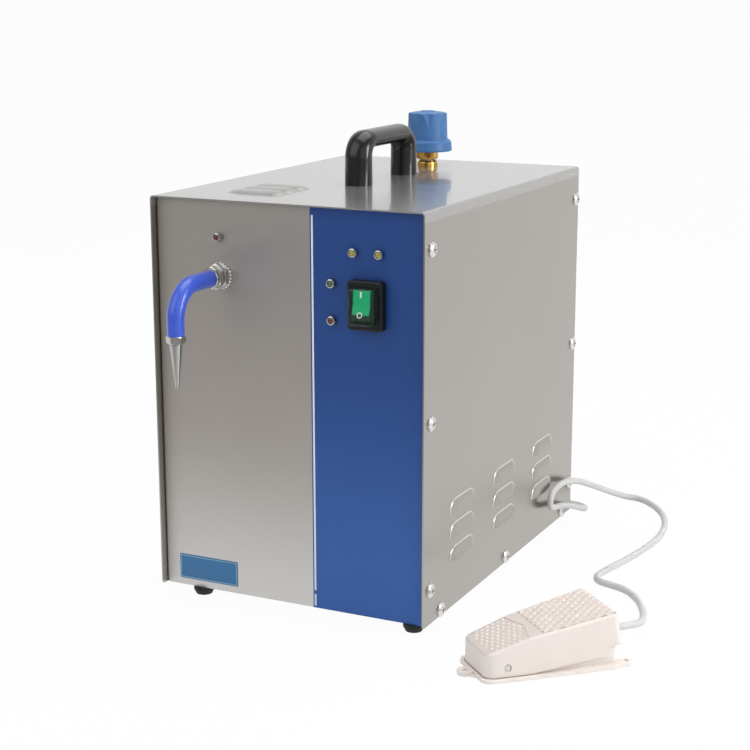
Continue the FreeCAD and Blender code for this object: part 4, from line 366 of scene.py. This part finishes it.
def soft_milky():
    """Milky silicone for the cap's seal."""
    finish = Finish("soft_milky", Subsurface_Weight=0.2, Subsurface_Scale=0.002)
    haze = finish.noise(scale=400.0)
    finish.paint(Base_Color=linear("#d8d4cc"), Roughness=0.45 + haze * 0.1)
    return finish.material


STEEL = plain_steel()
COVER = satin_cover()
PANEL = linen_panel()
FILM = printed_film()
WHITE_INK = mottled("printed_white", "#e4e6ea", "#eef0f2", grain=(1500.0,), sheen=0.4)
PALE_INK = mottled("printed_pale_blue", "#7fb0ba", "#9cc4ca", grain=(1500.0,), sheen=0.4)
STICKER = mottled("sticker_blue", "#1f679c", "#2670a5", grain=(40.0,), sheen=0.35, spread=0.1,
                  Coat_Weight=0.3, Coat_Roughness=0.2)
# Glossy black phenolic with the finest swirl of handling.
GLOSS = mottled("black_gloss", "#060608", "#0b0b0d", grain=(260.0, 3, 0.6), sheen=0.22, spread=0.06,
                relief=(0.00002, 0.1), Specular_IOR_Level=0.42, Coat_Weight=0.25, Coat_Roughness=0.1)
MOULDED = mottled("black_moulded", "#101012", "#1b1b1e", grain=(2600.0,), sheen=0.36, spread=0.12,
                  relief=(0.00003, 0.3), Specular_IOR_Level=0.45)
RUBBER = mottled("rubber_black", "#0b0b0b", "#191919", grain=(1800.0, 2, 0.6), sheen=0.62, spread=0.15,
                 relief=(0.00005, 0.4))
KNOB = knob_blue()
SLEEVE = mottled("sleeve_silicone", "#2c51c8", "#3860d2", grain=(90.0,), sheen=0.3, spread=0.12,
                 relief=(0.0001, 0.15), Subsurface_Weight=0.08, Subsurface_Scale=0.004,
                 Specular_IOR_Level=0.5, Coat_Weight=0.5, Coat_Roughness=0.16)
CHROME = mottled("chrome", "#b3b2af", "#c3c2bf", grain=(500.0,), sheen=0.07, spread=0.08, Metallic=1.0)
BRASS = turned_brass()
SCREW = mottled("screw_steel", "#d6d5d2", "#e8e7e4", grain=(420.0, 3, 0.6), sheen=0.2, spread=0.16,
                Metallic=1.0)
AMBER = glowing_lens_and_mark("lens_amber", "#7d6c1f", "#b3a246", glow=0.1)
GREEN = glowing_lens_and_mark("lens_green", "#0a4526", "#1c7040", glow=0.04)
RED = glowing_lens_and_mark("lens_red", "#3d0806", "#741614", glow=0.03)
ROCKER = rocker_green()
VINYL = clear_vinyl()
IVORY_BASE_PAINTED_LIGHT = ivory_base_painted_light()
PEDAL_TOP_SHADED = ivory_painted_recess_shade()
# Ivory polished by shoes on the pedal's raised grip, and paler than the pedal's top as a painted
# highlight.
STUDS_PAINTED_HIGHLIGHT = mottled("ivory_studs_painted_highlight", "#f0e6df", "#f8f0ea", grain=(60.0,), sheen=0.26, spread=0.15,
                Specular_IOR_Level=0.5)
RIDGES = mottled("ivory_ridges", "#d6cac1", "#e0d5cd", grain=(60.0,), sheen=0.42, spread=0.15,
                 Specular_IOR_Level=0.5)
# Sheet steel along a louver's pressed edge, paler than the cover as a painted highlight.
EDGE_PAINTED_HIGHLIGHT = mottled("louver_edge_painted_highlight", "#d9d7d3", "#e6e4e1", grain=(300.0,), sheen=0.2, spread=0.1, Metallic=1.0)
# The rocker's printed marks glow a little: a painted glow that keeps them white under the boot.
MARK_PAINTED_GLOW = glowing_lens_and_mark("mark_white_painted_glow", "#e9ecea", "#ffffff", glow=0.35)
CORD = mottled("cord_sheath", "#c4c3c1", "#cfcecc", grain=(180.0, 3, 0.6), sheen=0.42, spread=0.14,
               relief=(0.00006, 0.25))
FELT = mottled("felt_jacket", "#cfc9b8", "#e2ddcf", grain=(900.0, 4, 0.7), sheen=0.95,
               relief=(0.0008, 0.7))
BOARD = board_lacquer()
MILKY = soft_milky()

NODE_FINISH = {
    COVER: ["cover_shell"],
    PANEL: ["front_panel"],
    FILM: ["blue_overlay"],
    STICKER: ["badge_plate"],
    STEEL: ["base_tray", "rear_panel", "boiler_tank", "tank_stand", "level_probe",
            "steam_pipe_inlet", "steam_pipe_outlet", "nozzle_pipe", "drain_pipe", "heater_element"],
    RUBBER: ["rubber_feet"],
    SCREW: ["foot_screws", "cover_screws", "handle_screws", "star_washer", "drain_lever",
            "pedal_pin", "pedal_spring"],
    GLOSS: ["carry_handle"],
    BRASS: ["filler_bush", "cap_plug", "steam_manifold", "safety_valve", "solenoid_body",
            "bulkhead_fitting", "drain_valve_body"],
    KNOB: ["cap_knob"],
    MILKY: ["cap_seal"],
    FELT: ["tank_jacket"],
    MOULDED: ["limit_thermostat", "pressure_switch", "solenoid_coil", "power_relay", "mains_inlet",
              "cord_gland", "switch_frame", "micro_switch", "micro_plunger"],
    CHROME: ["lamp_bezels", "bulkhead_nut", "union_nut", "nozzle_ferrule", "steam_nozzle"],
    AMBER: ["amber_lenses"],
    GREEN: ["green_lens"],
    RED: ["red_lenses"],
    ROCKER: ["heating_rocker"],
    VINYL: ["switch_boot"],
    SLEEVE: ["hose_sleeve"],
    IVORY_BASE_PAINTED_LIGHT: ["pedal_base"],
    PEDAL_TOP_SHADED: ["pedal_cover"],
    CORD: ["pedal_gland", "cord_lead", "cord_coil", "cord_tail"],
    BOARD: ["control_board"],
}


def finish_nodes():
    for material, names in NODE_FINISH.items():
        for name in names:
            nodes[name].data.materials.clear()
            nodes[name].data.materials.append(material)


finish_nodes()


# ---------------------------------------------------------------- mesh helpers
def new_mesh(name, build, material, smooth=0.0):
    """A mesh object from a function that fills a bmesh, smooth up to an angle in degrees."""
    mesh = bpy.data.meshes.new(name)
    shape = bmesh.new()
    build(shape)
    bmesh.ops.recalc_face_normals(shape, faces=shape.faces)
    shape.to_mesh(mesh)
    shape.free()
    mesh.materials.append(material)
    piece = bpy.data.objects.new(name, mesh)
    bpy.context.scene.collection.objects.link(piece)
    if smooth:
        mesh.shade_smooth()
        mesh.set_sharp_from_angle(angle=math.radians(smooth))
    return piece


def dress(piece, body):
    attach(piece, body)
    return piece


def verts_of(geometry):
    return [part for part in geometry if isinstance(part, bmesh.types.BMVert)]


def edges_of(geometry):
    return [part for part in geometry if isinstance(part, bmesh.types.BMEdge)]


def close_holes(shape):
    bmesh.ops.holes_fill(shape, edges=[edge for edge in shape.edges if edge.is_boundary], sides=0)


def closed_outline(shape, spots):
    """Vertices at some spots and the edges that join them round."""
    corners = [shape.verts.new(spot) for spot in spots]
    count = len(corners)
    return corners + [shape.edges.new((corners[i], corners[(i + 1) % count])) for i in range(count)]


# ---------------------------------------------------------------- camera, stage and lamps
CAMERA_PLACE = Vector((0.6519, -1.3466, 0.5244))
CAMERA_YAW = math.radians(25.98)
CAMERA_PITCH = math.radians(13.37)
CAMERA_ROLL = math.radians(-0.089)
CAMERA_LENS = 80.87
CAMERA_SENSOR = 36
CAMERA_NEAR = 0.05
CAMERA_FAR = 60

FLOOR_HALF = 7.0
FLOOR_SHIFT = -3.4
WALL_HEIGHT = 5
WALL_BEND = 1.6
WALL_BEND_STEPS = 16

STAGE_TONE = (0.86, 0.86, 0.86, 1)
# Shares of each kind of ray that meet the stage as plain white.
CAMERA_SHARE = 0.955
GLOSSY_SHARE = 0.92
THROUGH_SHARE = 0.85
# Distances in front between which the stage dims in reflections, and the level that it dims to.
STAGE_DIM = (0.36, 0.86)
STAGE_DIM_LEVEL = 0.38

# Each lamp's name, place, aim, width and height, and power.
LAMPS = [
    ("front_lamp", (-1.1, -1.9, 1.9), (0, 0, 0.15), (2.4, 2.4), 23),
    ("side_lamp", (1.9, -1.3, 1.2), (0.15, -0.1, 0.1), (2.0, 2.0), 7),
    ("strip_lamp", (1.28, 0.05, 0.68), (0.1, 0, 0.3), (0.32, 0.7), 9),
    ("top_lamp", (0.1, 0.4, 2.2), (0, 0, 0.2), (1.8, 1.8), 24),
]
ROOM_TINT = (0.93, 0.95, 1.0, 1)
ROOM_LEVEL = 0.42
WHITE = (1, 1, 1, 1)


def set_camera():
    camera = bpy.data.objects.new("camera", bpy.data.cameras.new("camera"))
    bpy.context.scene.collection.objects.link(camera)
    camera.data.sensor_width = CAMERA_SENSOR
    camera.data.lens = CAMERA_LENS
    camera.data.clip_start = CAMERA_NEAR
    camera.data.clip_end = CAMERA_FAR
    heading = Vector((-math.sin(CAMERA_YAW), math.cos(CAMERA_YAW), 0))
    ahead = heading * math.cos(CAMERA_PITCH) - Z_AXIS * math.sin(CAMERA_PITCH)
    level = ahead.cross(Z_AXIS).normalized()
    upright = level.cross(ahead)
    right = level * math.cos(CAMERA_ROLL) + upright * math.sin(CAMERA_ROLL)
    up = upright * math.cos(CAMERA_ROLL) - level * math.sin(CAMERA_ROLL)
    turn = Matrix((right, up, -ahead)).transposed().to_4x4()
    camera.matrix_world = Matrix.Translation(CAMERA_PLACE) @ turn
    bpy.context.scene.camera = camera


def stage_white():
    """White for the camera and in reflections, under a share of the lit surface that keeps the shadow."""
    finish = Finish("stage_white", Base_Color=STAGE_TONE, Roughness=0.9, Specular_IOR_Level=0.1)
    far_front = (finish.axes()[1] * -1).ramp(*STAGE_DIM)
    path = finish.node("ShaderNodeLightPath").outputs
    camera_ray = Signal(finish, path["Is Camera Ray"])
    glossy_ray = Signal(finish, path["Is Glossy Ray"])
    through_ray = Signal(finish, path["Is Transmission Ray"])
    white, dim = [finish.node("ShaderNodeEmission", {}, {"Color": WHITE, "Strength": level}).outputs[0]
                  for level in (1.0, STAGE_DIM_LEVEL)]
    glow = finish.node("ShaderNodeMixShader", {}, {0: glossy_ray * far_front, 1: white, 2: dim})
    share = camera_ray * CAMERA_SHARE + glossy_ray * GLOSSY_SHARE + through_ray * THROUGH_SHARE
    mixed = finish.node("ShaderNodeMixShader", {}, {0: share, 1: finish.shader.outputs[0],
                                                    2: glow.outputs[0]})
    finish.feed(finish.tree.nodes["Material Output"].inputs["Surface"], mixed.outputs[0])
    return finish.material


def sweep_floor(shape):
    """A floor that turns up behind in one soft curve."""
    bmesh.ops.create_grid(shape, x_segments=1, y_segments=1, size=FLOOR_HALF)
    bmesh.ops.translate(shape, vec=(0, FLOOR_SHIFT, 0), verts=shape.verts)
    back = [edge for edge in shape.edges if all(v.co.y > 0 for v in edge.verts)]
    raised = bmesh.ops.extrude_edge_only(shape, edges=back)["geom"]
    bmesh.ops.translate(shape, vec=(0, 0, WALL_HEIGHT), verts=verts_of(raised))
    corner = [edge for edge in shape.edges
              if all(v.co.y > 0 and v.co.z < WALL_HEIGHT / 2 for v in edge.verts)]
    bmesh.ops.bevel(shape, geom=corner, offset=WALL_BEND, segments=WALL_BEND_STEPS, profile=0.5,
                    affect="EDGES", material=-1)


def add_lamp(name, place, aim, size, power):
    lamp = bpy.data.lights.new(name, "AREA")
    lamp.shape = "RECTANGLE"
    lamp.size, lamp.size_y = size
    lamp.energy = power
    holder = bpy.data.objects.new(name, lamp)
    bpy.context.scene.collection.objects.link(holder)
    holder.location = place
    holder.rotation_mode = "QUATERNION"
    holder.rotation_quaternion = (Vector(aim) - Vector(place)).to_track_quat("-Z", "Y")


def set_world():
    """An even pale room: white to the camera, dimmer as light."""
    world = bpy.data.worlds.new("studio")
    world.use_nodes = True
    bpy.context.scene.world = world
    tree = world.node_tree
    lit = tree.nodes["Background"]
    seen = tree.nodes.new("ShaderNodeBackground")
    for background, tint, level in ((lit, ROOM_TINT, ROOM_LEVEL), (seen, WHITE, 1.0)):
        background.inputs["Color"].default_value = tint
        background.inputs["Strength"].default_value = level
    path = tree.nodes.new("ShaderNodeLightPath")
    mix = tree.nodes.new("ShaderNodeMixShader")
    tree.links.new(path.outputs["Is Camera Ray"], mix.inputs[0])
    tree.links.new(lit.outputs[0], mix.inputs[1])
    tree.links.new(seen.outputs[0], mix.inputs[2])
    tree.links.new(mix.outputs[0], tree.nodes["World Output"].inputs[0])


def set_stage():
    new_mesh("sweep", sweep_floor, stage_white(), smooth=60)
    for name, place, aim, size, power in LAMPS:
        add_lamp(name, place, aim, size, power)
    set_world()


bpy.context.scene.view_settings.view_transform = "Standard"
set_camera()
set_stage()


# ---------------------------------------------------------------- foot switch cord
CORD_DIAMETER = 0.006
COIL_CENTRE = (0.010, 0.221)
COIL_START = math.radians(90)
COIL_STEPS = 14
COIL_TURNS = 3.5
# Turns at which the cord has moved in, up and out again, with its radius and height there.
COIL_STATIONS = [(0.0, 0.036, 0.003), (0.80, 0.036, 0.003), (0.97, 0.030, 0.003), (1.62, 0.030, 0.003),
                 (1.78, 0.030, 0.009), (2.44, 0.030, 0.009), (2.60, 0.036, 0.009), (3.5, 0.036, 0.009)]

LEAD_POINTS = [
    (0.267272, -0.139607, 0.0195), (0.277598, -0.128727, 0.0195), (0.2835, -0.113, 0.0165),
    (0.282, -0.092, 0.0105), (0.2768, -0.070, 0.0044), (0.270, -0.048, 0.003), (0.258, -0.025, 0.003),
    (0.243, -0.008, 0.003), (0.227, -0.0015, 0.003), (0.213, 0.0025, 0.003), (0.2075, 0.014, 0.003),
    (0.210, 0.031, 0.003), (0.2165, 0.058, 0.003), (0.223, 0.094, 0.003), (0.227, 0.128, 0.003),
    (0.226, 0.160, 0.003), (0.218, 0.194, 0.003), (0.204, 0.222, 0.003), (0.188, 0.2405, 0.003),
    (0.173, 0.252, 0.003), (0.160, 0.2505, 0.0035), (0.152, 0.239, 0.009), (0.1455, 0.222, 0.017),
    (0.1395, 0.201, 0.0265), (0.1355, 0.178, 0.0365), (0.134, 0.154, 0.0438), (0.1336, 0.132, 0.048),
    (0.1338, 0.1155, 0.049), (0.1336, 0.0994, 0.0468), (0.1334, 0.0948, 0.0385), (0.1332, 0.0987, 0.0315),
    (0.133, 0.116, 0.028), (0.133, 0.138, 0.0235), (0.134, 0.161, 0.016), (0.1365, 0.182, 0.0075),
    (0.135, 0.197, 0.003), (0.1245, 0.206, 0.003), (0.107, 0.2065, 0.003), (0.087, 0.201, 0.003),
    (0.071, 0.192, 0.005), (0.055, 0.185, 0.009), (0.034, 0.185, 0.009),
]
TAIL_POINTS = [
    (0.034, 0.257, 0.003), (0.057, 0.257, 0.003), (0.074, 0.2495, 0.003), (0.0845, 0.2385, 0.0055),
    (0.0905, 0.226, 0.0145), (0.0938, 0.213, 0.0255), (0.095, 0.199, 0.032), (0.095, 0.184, 0.032),
]


def between_stations(turn):
    """The coil's radius and height at a turn."""
    for (start, radius, height), (end, next_radius, next_height) in zip(COIL_STATIONS, COIL_STATIONS[1:]):
        if turn <= end:
            share = (turn - start) / (end - start)
            return radius + (next_radius - radius) * share, height + (next_height - height) * share
    return COIL_STATIONS[-1][1:]


def coil_points():
    """The put-away turns, run backwards: from the exit near the cabinet round to the entry."""
    count = round(COIL_TURNS * COIL_STEPS)
    points = []
    for step in range(count, -1, -1):
        turn = step / COIL_STEPS
        radius, height = between_stations(turn)
        angle = COIL_START + turn * math.tau
        points.append((COIL_CENTRE[0] + radius * math.cos(angle),
                       COIL_CENTRE[1] + radius * math.sin(angle), height))
    return points


def lay_cord():
    curve = bpy.data.curves.new("switch_cord", "CURVE")
    curve.dimensions = "3D"
    curve.bevel_depth = CORD_DIAMETER / 2
    curve.bevel_resolution = 5
    curve.resolution_u = 10
    curve.use_fill_caps = True
    points = LEAD_POINTS + coil_points() + TAIL_POINTS
    spline = curve.splines.new("NURBS")
    spline.points.add(len(points) - 1)
    for point, place in zip(spline.points, points):
        point.co = (*place, 1)
    spline.order_u = 3
    spline.use_endpoint_u = True
    curve.materials.append(CORD)
    cord = bpy.data.objects.new("switch_cord", curve)
    bpy.context.scene.collection.objects.link(cord)
    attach(cord, "cabinet")
    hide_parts("cord_lead", "cord_coil", "cord_tail")


lay_cord()


# ---------------------------------------------------------------- print on the front
FILM_FACE = -0.1708
LINE_X = 0.0232
LINE_WIDTH = 0.0016
LINE_RUNS = ((0.0088, 0.0190), (0.0225, 0.3386))
INK_THICK = 0.00006
BADGE_LOW = (-0.1100, 0.0130)
BADGE_HIGH = (-0.0523, 0.0350)
BADGE_EDGE = 0.0009
BADGE_RULE = 0.0006


def ink_patch(shape, low, high, face):
    """A flat patch on a wall that faces the front, between two corners."""
    width, height = high[0] - low[0], high[1] - low[1]
    upright = Matrix.Rotation(math.radians(90), 3, "X")
    patch = bmesh.ops.create_grid(shape, x_segments=1, y_segments=1, size=0.5)["verts"]
    bmesh.ops.scale(shape, vec=(width, height, 1), verts=patch)
    bmesh.ops.rotate(shape, cent=(0, 0, 0), matrix=upright, verts=patch)
    bmesh.ops.translate(shape, vec=(low[0] + width / 2, face, low[1] + height / 2), verts=patch)


def thicken_forward(shape, thick):
    """Gives every face of a flat layer its thickness toward the front."""
    raised = bmesh.ops.extrude_face_region(shape, geom=list(shape.faces))["geom"]
    bmesh.ops.translate(shape, vec=(0, -thick, 0), verts=verts_of(raised))


def line_ink(shape):
    for low, high in LINE_RUNS:
        ink_patch(shape, (LINE_X - LINE_WIDTH / 2, low), (LINE_X + LINE_WIDTH / 2, high), FILM_FACE)
    thicken_forward(shape, INK_THICK)


def badge_rule(shape):
    """A thin frame of ink just inside the badge's edge."""
    low = (BADGE_LOW[0] + BADGE_EDGE, BADGE_LOW[1] + BADGE_EDGE)
    high = (BADGE_HIGH[0] - BADGE_EDGE, BADGE_HIGH[1] - BADGE_EDGE)
    ink_patch(shape, low, high, FILM_FACE)
    middle = list(shape.faces)
    bmesh.ops.inset_region(shape, faces=middle, thickness=BADGE_RULE, use_boundary=True,
                           use_even_offset=True)
    bmesh.ops.delete(shape, geom=middle, context="FACES")
    thicken_forward(shape, INK_THICK)


dress(new_mesh("overlay_line", line_ink, WHITE_INK), "cabinet")
dress(new_mesh("badge_rule", badge_rule, PALE_INK), "cabinet")


# ---------------------------------------------------------------- beads on the louvers' edges, paler as a painted highlight
COVER_SIDE = 0.125
COVER_TOP = 0.340
LOUVER_ROWS = 3
LOUVER_COLUMNS = 3
# Length and height of a hood, the first one's place, and the steps to the next.
SIDE_LOUVER = (0.053, 0.012)
SIDE_LOUVER_FIRST = (-0.0978, 0.0478)
SIDE_LOUVER_STEP = (0.0953, 0.0207)
TOP_LOUVER = (0.056, 0.013)
TOP_LOUVER_FIRST = (-0.052, -0.1245)
TOP_LOUVER_STEP = 0.020
BEAD_HALF = 0.0008
BEAD_RISE = 0.0006
BEAD_SINK = 0.0001
BEAD_FACETS = 5
BEAD_BEND_STEPS = 6


def louver_places():
    """Size, base point, mouth direction and hood direction of every louver."""
    places = []
    for column in range(LOUVER_COLUMNS):
        for row in range(LOUVER_ROWS):
            y = SIDE_LOUVER_FIRST[0] + column * SIDE_LOUVER_STEP[0]
            z = SIDE_LOUVER_FIRST[1] + row * SIDE_LOUVER_STEP[1]
            places.append((SIDE_LOUVER, Vector((COVER_SIDE, y, z)), Y_AXIS, Z_AXIS))
            places.append((SIDE_LOUVER, Vector((-COVER_SIDE, y, z)), -Y_AXIS, Z_AXIS))
    for row in range(LOUVER_ROWS):
        x, y = TOP_LOUVER_FIRST[0], TOP_LOUVER_FIRST[1] + row * TOP_LOUVER_STEP
        places.append((TOP_LOUVER, Vector((x, y, COVER_TOP)), -X_AXIS, -Y_AXIS))
    return places


def louver_bead(shape, length, height):
    """A half-round bead along one hood's closed edge: up its end, along it and down again."""
    half = length / 2 - height
    around = [math.pi * step / BEAD_FACETS for step in range(BEAD_FACETS + 1)]
    section = closed_outline(shape, [(-half - height + BEAD_HALF * (1 - math.cos(turn)), 0,
                                      BEAD_RISE * math.sin(turn) - BEAD_SINK) for turn in around])
    first = bmesh.ops.spin(shape, geom=section, cent=(-half, 0, 0), axis=(0, 0, 1),
                           angle=math.radians(-90), steps=BEAD_BEND_STEPS)["geom_last"]
    run = bmesh.ops.extrude_edge_only(shape, edges=edges_of(first))["geom"]
    moved = verts_of(run)
    bmesh.ops.translate(shape, vec=(2 * half, 0, 0), verts=moved)
    moved += [edge for edge in edges_of(run) if all(end in moved for end in edge.verts)]
    bmesh.ops.spin(shape, geom=moved, cent=(half, 0, 0), axis=(0, 0, 1), angle=math.radians(-90),
                   steps=BEAD_BEND_STEPS)
    close_holes(shape)


def louver_edges(shape):
    """Every louver's bead, each made flat and then laid on its hood."""
    for (length, height), base, along, across in louver_places():
        single = bmesh.new()
        louver_bead(single, length, height)
        lay = Matrix((along, across, along.cross(across))).transposed().to_4x4()
        bmesh.ops.transform(single, matrix=Matrix.Translation(base) @ lay, verts=single.verts)
        carrier = bpy.data.meshes.new("louver_carrier")
        single.to_mesh(carrier)
        single.free()
        shape.from_mesh(carrier)
        bpy.data.meshes.remove(carrier)


dress(new_mesh("louver_edges", louver_edges, EDGE_PAINTED_HIGHLIGHT, smooth=50), "cabinet")


# ---------------------------------------------------------------- marks on the rocker
ROCKER_AXIS = Vector((0.0735, -0.1752, 0.270))
ROCKER_REST = math.radians(-10)
ROCKER_VALLEY = 0.0076
ROCKER_SLOPE = 0.125
MARK_THICK = 0.00012
MARK_SHIFT = -0.0012
ON_MARK_AT = 0.0083
ON_MARK_HALF = (0.0007, 0.0024)
OFF_MARK_AT = -0.0077
OFF_MARK_RADII = (0.00165, 0.0024)
OFF_MARK_STEPS = 36


def on_rocker(height):
    """Places a shape drawn in the XZ plane on the rocker's tilted face, at a height from its axis."""
    lean = math.atan(ROCKER_SLOPE) * (1 if height > 0 else -1)
    proud = ROCKER_VALLEY + ROCKER_SLOPE * abs(height)
    return (Matrix.Translation(ROCKER_AXIS) @ Matrix.Rotation(ROCKER_REST, 4, "X")
            @ Matrix.Translation((MARK_SHIFT, -proud, height)) @ Matrix.Rotation(lean, 4, "X"))


def rocker_marks(shape):
    """A bar for on and a ring for off."""
    half_width, half_height = ON_MARK_HALF
    ink_patch(shape, (-half_width, -half_height), (half_width, half_height), 0)
    thicken_forward(shape, MARK_THICK)
    bmesh.ops.transform(shape, matrix=on_rocker(ON_MARK_AT), verts=shape.verts)
    placed = set(shape.verts)
    inner, outer = OFF_MARK_RADII
    section = closed_outline(shape, [(inner, 0, 0), (outer, 0, 0), (outer, -MARK_THICK, 0),
                                     (inner, -MARK_THICK, 0)])
    bmesh.ops.spin(shape, geom=section, cent=(0, 0, 0), axis=(0, 1, 0), angle=math.tau,
                   steps=OFF_MARK_STEPS, use_merge=True)
    ring = [v for v in shape.verts if v not in placed]
    bmesh.ops.transform(shape, matrix=on_rocker(OFF_MARK_AT), verts=ring)


dress(new_mesh("rocker_marks", rocker_marks, MARK_PAINTED_GLOW, smooth=40), "rocker")


# ---------------------------------------------------------------- studs on the pedal's nose
PEDAL_PLACE = Matrix.Translation(PEDAL_SPOT) @ Matrix.Rotation(PEDAL_TURN, 4, "Z")
RECESS_DEPTH = 0.0006
RECESS_RIM = 0.0032
RECESS_SIDE_X = 0.0355
RECESS_POINT_X = 0.0415
STUD_RADIUS = 0.00115
STUD_SIDES = 10
STUD_RINGS = 6
STUD_SINK = 0.0002
STUD_FIRST_X = 0.0059
STUD_PITCH = 0.0046
STUD_COLUMNS = 9
STUD_ROWS = 4
STUD_ROW_SHARE = 0.2
STUD_MARGIN = 0.0022


def stud_places():
    """Staggered rows along the nose, opening with its taper and ending at the recess's point."""
    places = []
    for row in range(-STUD_ROWS, STUD_ROWS + 1):
        for step in range(STUD_COLUMNS):
            x = STUD_FIRST_X + STUD_PITCH * (step + 0.5 * (row % 2))
            half = PEDAL_NOSE_HALF + PEDAL_SPREAD * x
            y = STUD_ROW_SHARE * row * half
            inside = half - RECESS_RIM
            last = RECESS_SIDE_X + (RECESS_POINT_X - RECESS_SIDE_X) * (1 - abs(y) / inside) - STUD_MARGIN
            corner = abs(row) == STUD_ROWS and step == 0
            if x < last and not corner:
                places.append((x, y))
    return places


def stud_field(shape):
    """One low dome, repeated over the recess and stood square on its slope."""
    bmesh.ops.create_uvsphere(shape, u_segments=STUD_SIDES, v_segments=STUD_RINGS, radius=STUD_RADIUS)
    below_middle = [v for v in shape.verts if v.co.z < -STUD_RADIUS / 100]
    bmesh.ops.delete(shape, geom=below_middle, context="VERTS")
    close_holes(shape)
    dome = shape.verts[:] + shape.edges[:] + shape.faces[:]
    stand = Matrix.Rotation(-math.atan(PEDAL_RISE), 4, "Y")
    for x, y in stud_places():
        height = PEDAL_NOSE_HEIGHT + PEDAL_RISE * x - RECESS_DEPTH - STUD_SINK
        copy = bmesh.ops.duplicate(shape, geom=dome)["geom"]
        bmesh.ops.transform(shape, matrix=PEDAL_PLACE @ Matrix.Translation((x, y, height)) @ stand,
                            verts=verts_of(copy))
    bmesh.ops.delete(shape, geom=verts_of(dome), context="VERTS")


dress(new_mesh("pedal_studs", stud_field, STUDS_PAINTED_HIGHLIGHT, smooth=50), "pedal")


# ---------------------------------------------------------------- round ridges of the pedal's tread
TREAD_START = 0.0478
TREAD_MIDDLE = 0.07725
TREAD_END = 0.1067
TREAD_SIDE = 0.003
TREAD_PITCH = 0.0057
TREAD_LEAN = math.radians(36)
# Side, half width and rise of the ridges that run to the left of the tail, then of those that cross them.
TREAD_RIDGES = ((1, 0.0019, 0.00086), (-1, 0.0017, 0.00084))
TREAD_SINK = 0.0002
RIDGE_HALF_FACETS = 3


def ridge_bar(shape, reach, half, rise, offset, lean):
    """One round-topped ridge, laid flat at its offset and turned to its lean."""
    radius = (half * half + rise * rise) / (2 * rise)
    spread = math.asin(half / radius)
    arc = [spread * (step / RIDGE_HALF_FACETS - 1) for step in range(2 * RIDGE_HALF_FACETS + 1)]
    outline = [(offset + radius * math.sin(turn), rise - radius + radius * math.cos(turn))
               for turn in arc]
    outline += [(offset + half, -TREAD_SINK), (offset - half, -TREAD_SINK)]
    start = [shape.verts.new((-reach, across, up)) for across, up in outline]
    face = shape.faces.new(start)
    run = bmesh.ops.extrude_face_region(shape, geom=[face], use_keep_orig=True)["geom"]
    ends = verts_of(run)
    bmesh.ops.translate(shape, vec=(2 * reach, 0, 0), verts=ends)
    bmesh.ops.rotate(shape, cent=(0, 0, 0), matrix=Matrix.Rotation(lean, 3, "Z"), verts=start + ends)


def trim(shape, spot, outward):
    """Cuts the ridges off outside a plane and closes their ends."""
    everything = shape.verts[:] + shape.edges[:] + shape.faces[:]
    bmesh.ops.bisect_plane(shape, geom=everything, plane_co=spot, plane_no=outward, clear_outer=True)
    close_holes(shape)


def tread_ridges(shape):
    """Two crossing sets of ridges, cut to the tread's edges and tilted onto its slope."""
    widest = PEDAL_NOSE_HALF + PEDAL_SPREAD * TREAD_END
    reach = math.hypot(TREAD_END - TREAD_MIDDLE, widest)
    count = int(reach / TREAD_PITCH)
    for side, half, rise in TREAD_RIDGES:
        for step in range(-count, count + 1):
            ridge_bar(shape, reach, half, rise, step * TREAD_PITCH, side * TREAD_LEAN)
    bmesh.ops.translate(shape, vec=(TREAD_MIDDLE, 0, 0), verts=shape.verts)
    trim(shape, (TREAD_START, 0, 0), (-1, 0, 0))
    trim(shape, (TREAD_END, 0, 0), (1, 0, 0))
    inside = PEDAL_NOSE_HALF - TREAD_SIDE
    trim(shape, (0, inside, 0), (-PEDAL_SPREAD, 1, 0))
    trim(shape, (0, -inside, 0), (-PEDAL_SPREAD, -1, 0))
    slope = Matrix(((1, 0, 0, 0), (0, 1, 0, 0), (PEDAL_TAIL_RISE, 0, 1, 0), (0, 0, 0, 1)))
    level = Matrix.Translation((0, 0, PEDAL_TAIL_BASE))
    bmesh.ops.transform(shape, matrix=PEDAL_PLACE @ level @ slope, verts=shape.verts)


dress(new_mesh("tread_ridges", tread_ridges, RIDGES, smooth=40), "pedal")


# ---------------------------------------------------------------- coil spring under the pedal
SPRING_X = 0.075
SPRING_FOOT = 0.00405
SPRING_HEAD = 0.02695
SPRING_WIRE = 0.0016
SPRING_WIRE_SIDES = 8
SPRING_OUTSIDE = 0.005
SPRING_TURNS = 8
SPRING_STEPS = 16


def spring_coil(shape):
    """A round wire wound up from the spring's foot to its head."""
    upright = Matrix.Rotation(math.radians(90), 3, "X")
    wire = bmesh.ops.create_circle(shape, segments=SPRING_WIRE_SIDES, radius=SPRING_WIRE / 2)["verts"]
    bmesh.ops.rotate(shape, cent=(0, 0, 0), matrix=upright, verts=wire)
    bmesh.ops.translate(shape, vec=(SPRING_OUTSIDE - SPRING_WIRE / 2, 0, SPRING_FOOT + SPRING_WIRE / 2),
                        verts=wire)
    steps = SPRING_TURNS * SPRING_STEPS
    climb = (SPRING_HEAD - SPRING_FOOT - SPRING_WIRE) / steps
    bmesh.ops.spin(shape, geom=shape.verts[:] + shape.edges[:], cent=(0, 0, 0), axis=(0, 0, 1),
                   dvec=(0, 0, climb), angle=SPRING_TURNS * math.tau, steps=steps)
    close_holes(shape)
    bmesh.ops.transform(shape, matrix=PEDAL_PLACE @ Matrix.Translation((SPRING_X, 0, 0)),
                        verts=shape.verts)


def set_spring():
    spring = dress(new_mesh("spring_coil", spring_coil, SCREW, smooth=60), "cabinet")
    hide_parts("pedal_spring")
    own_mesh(spring)


set_spring()
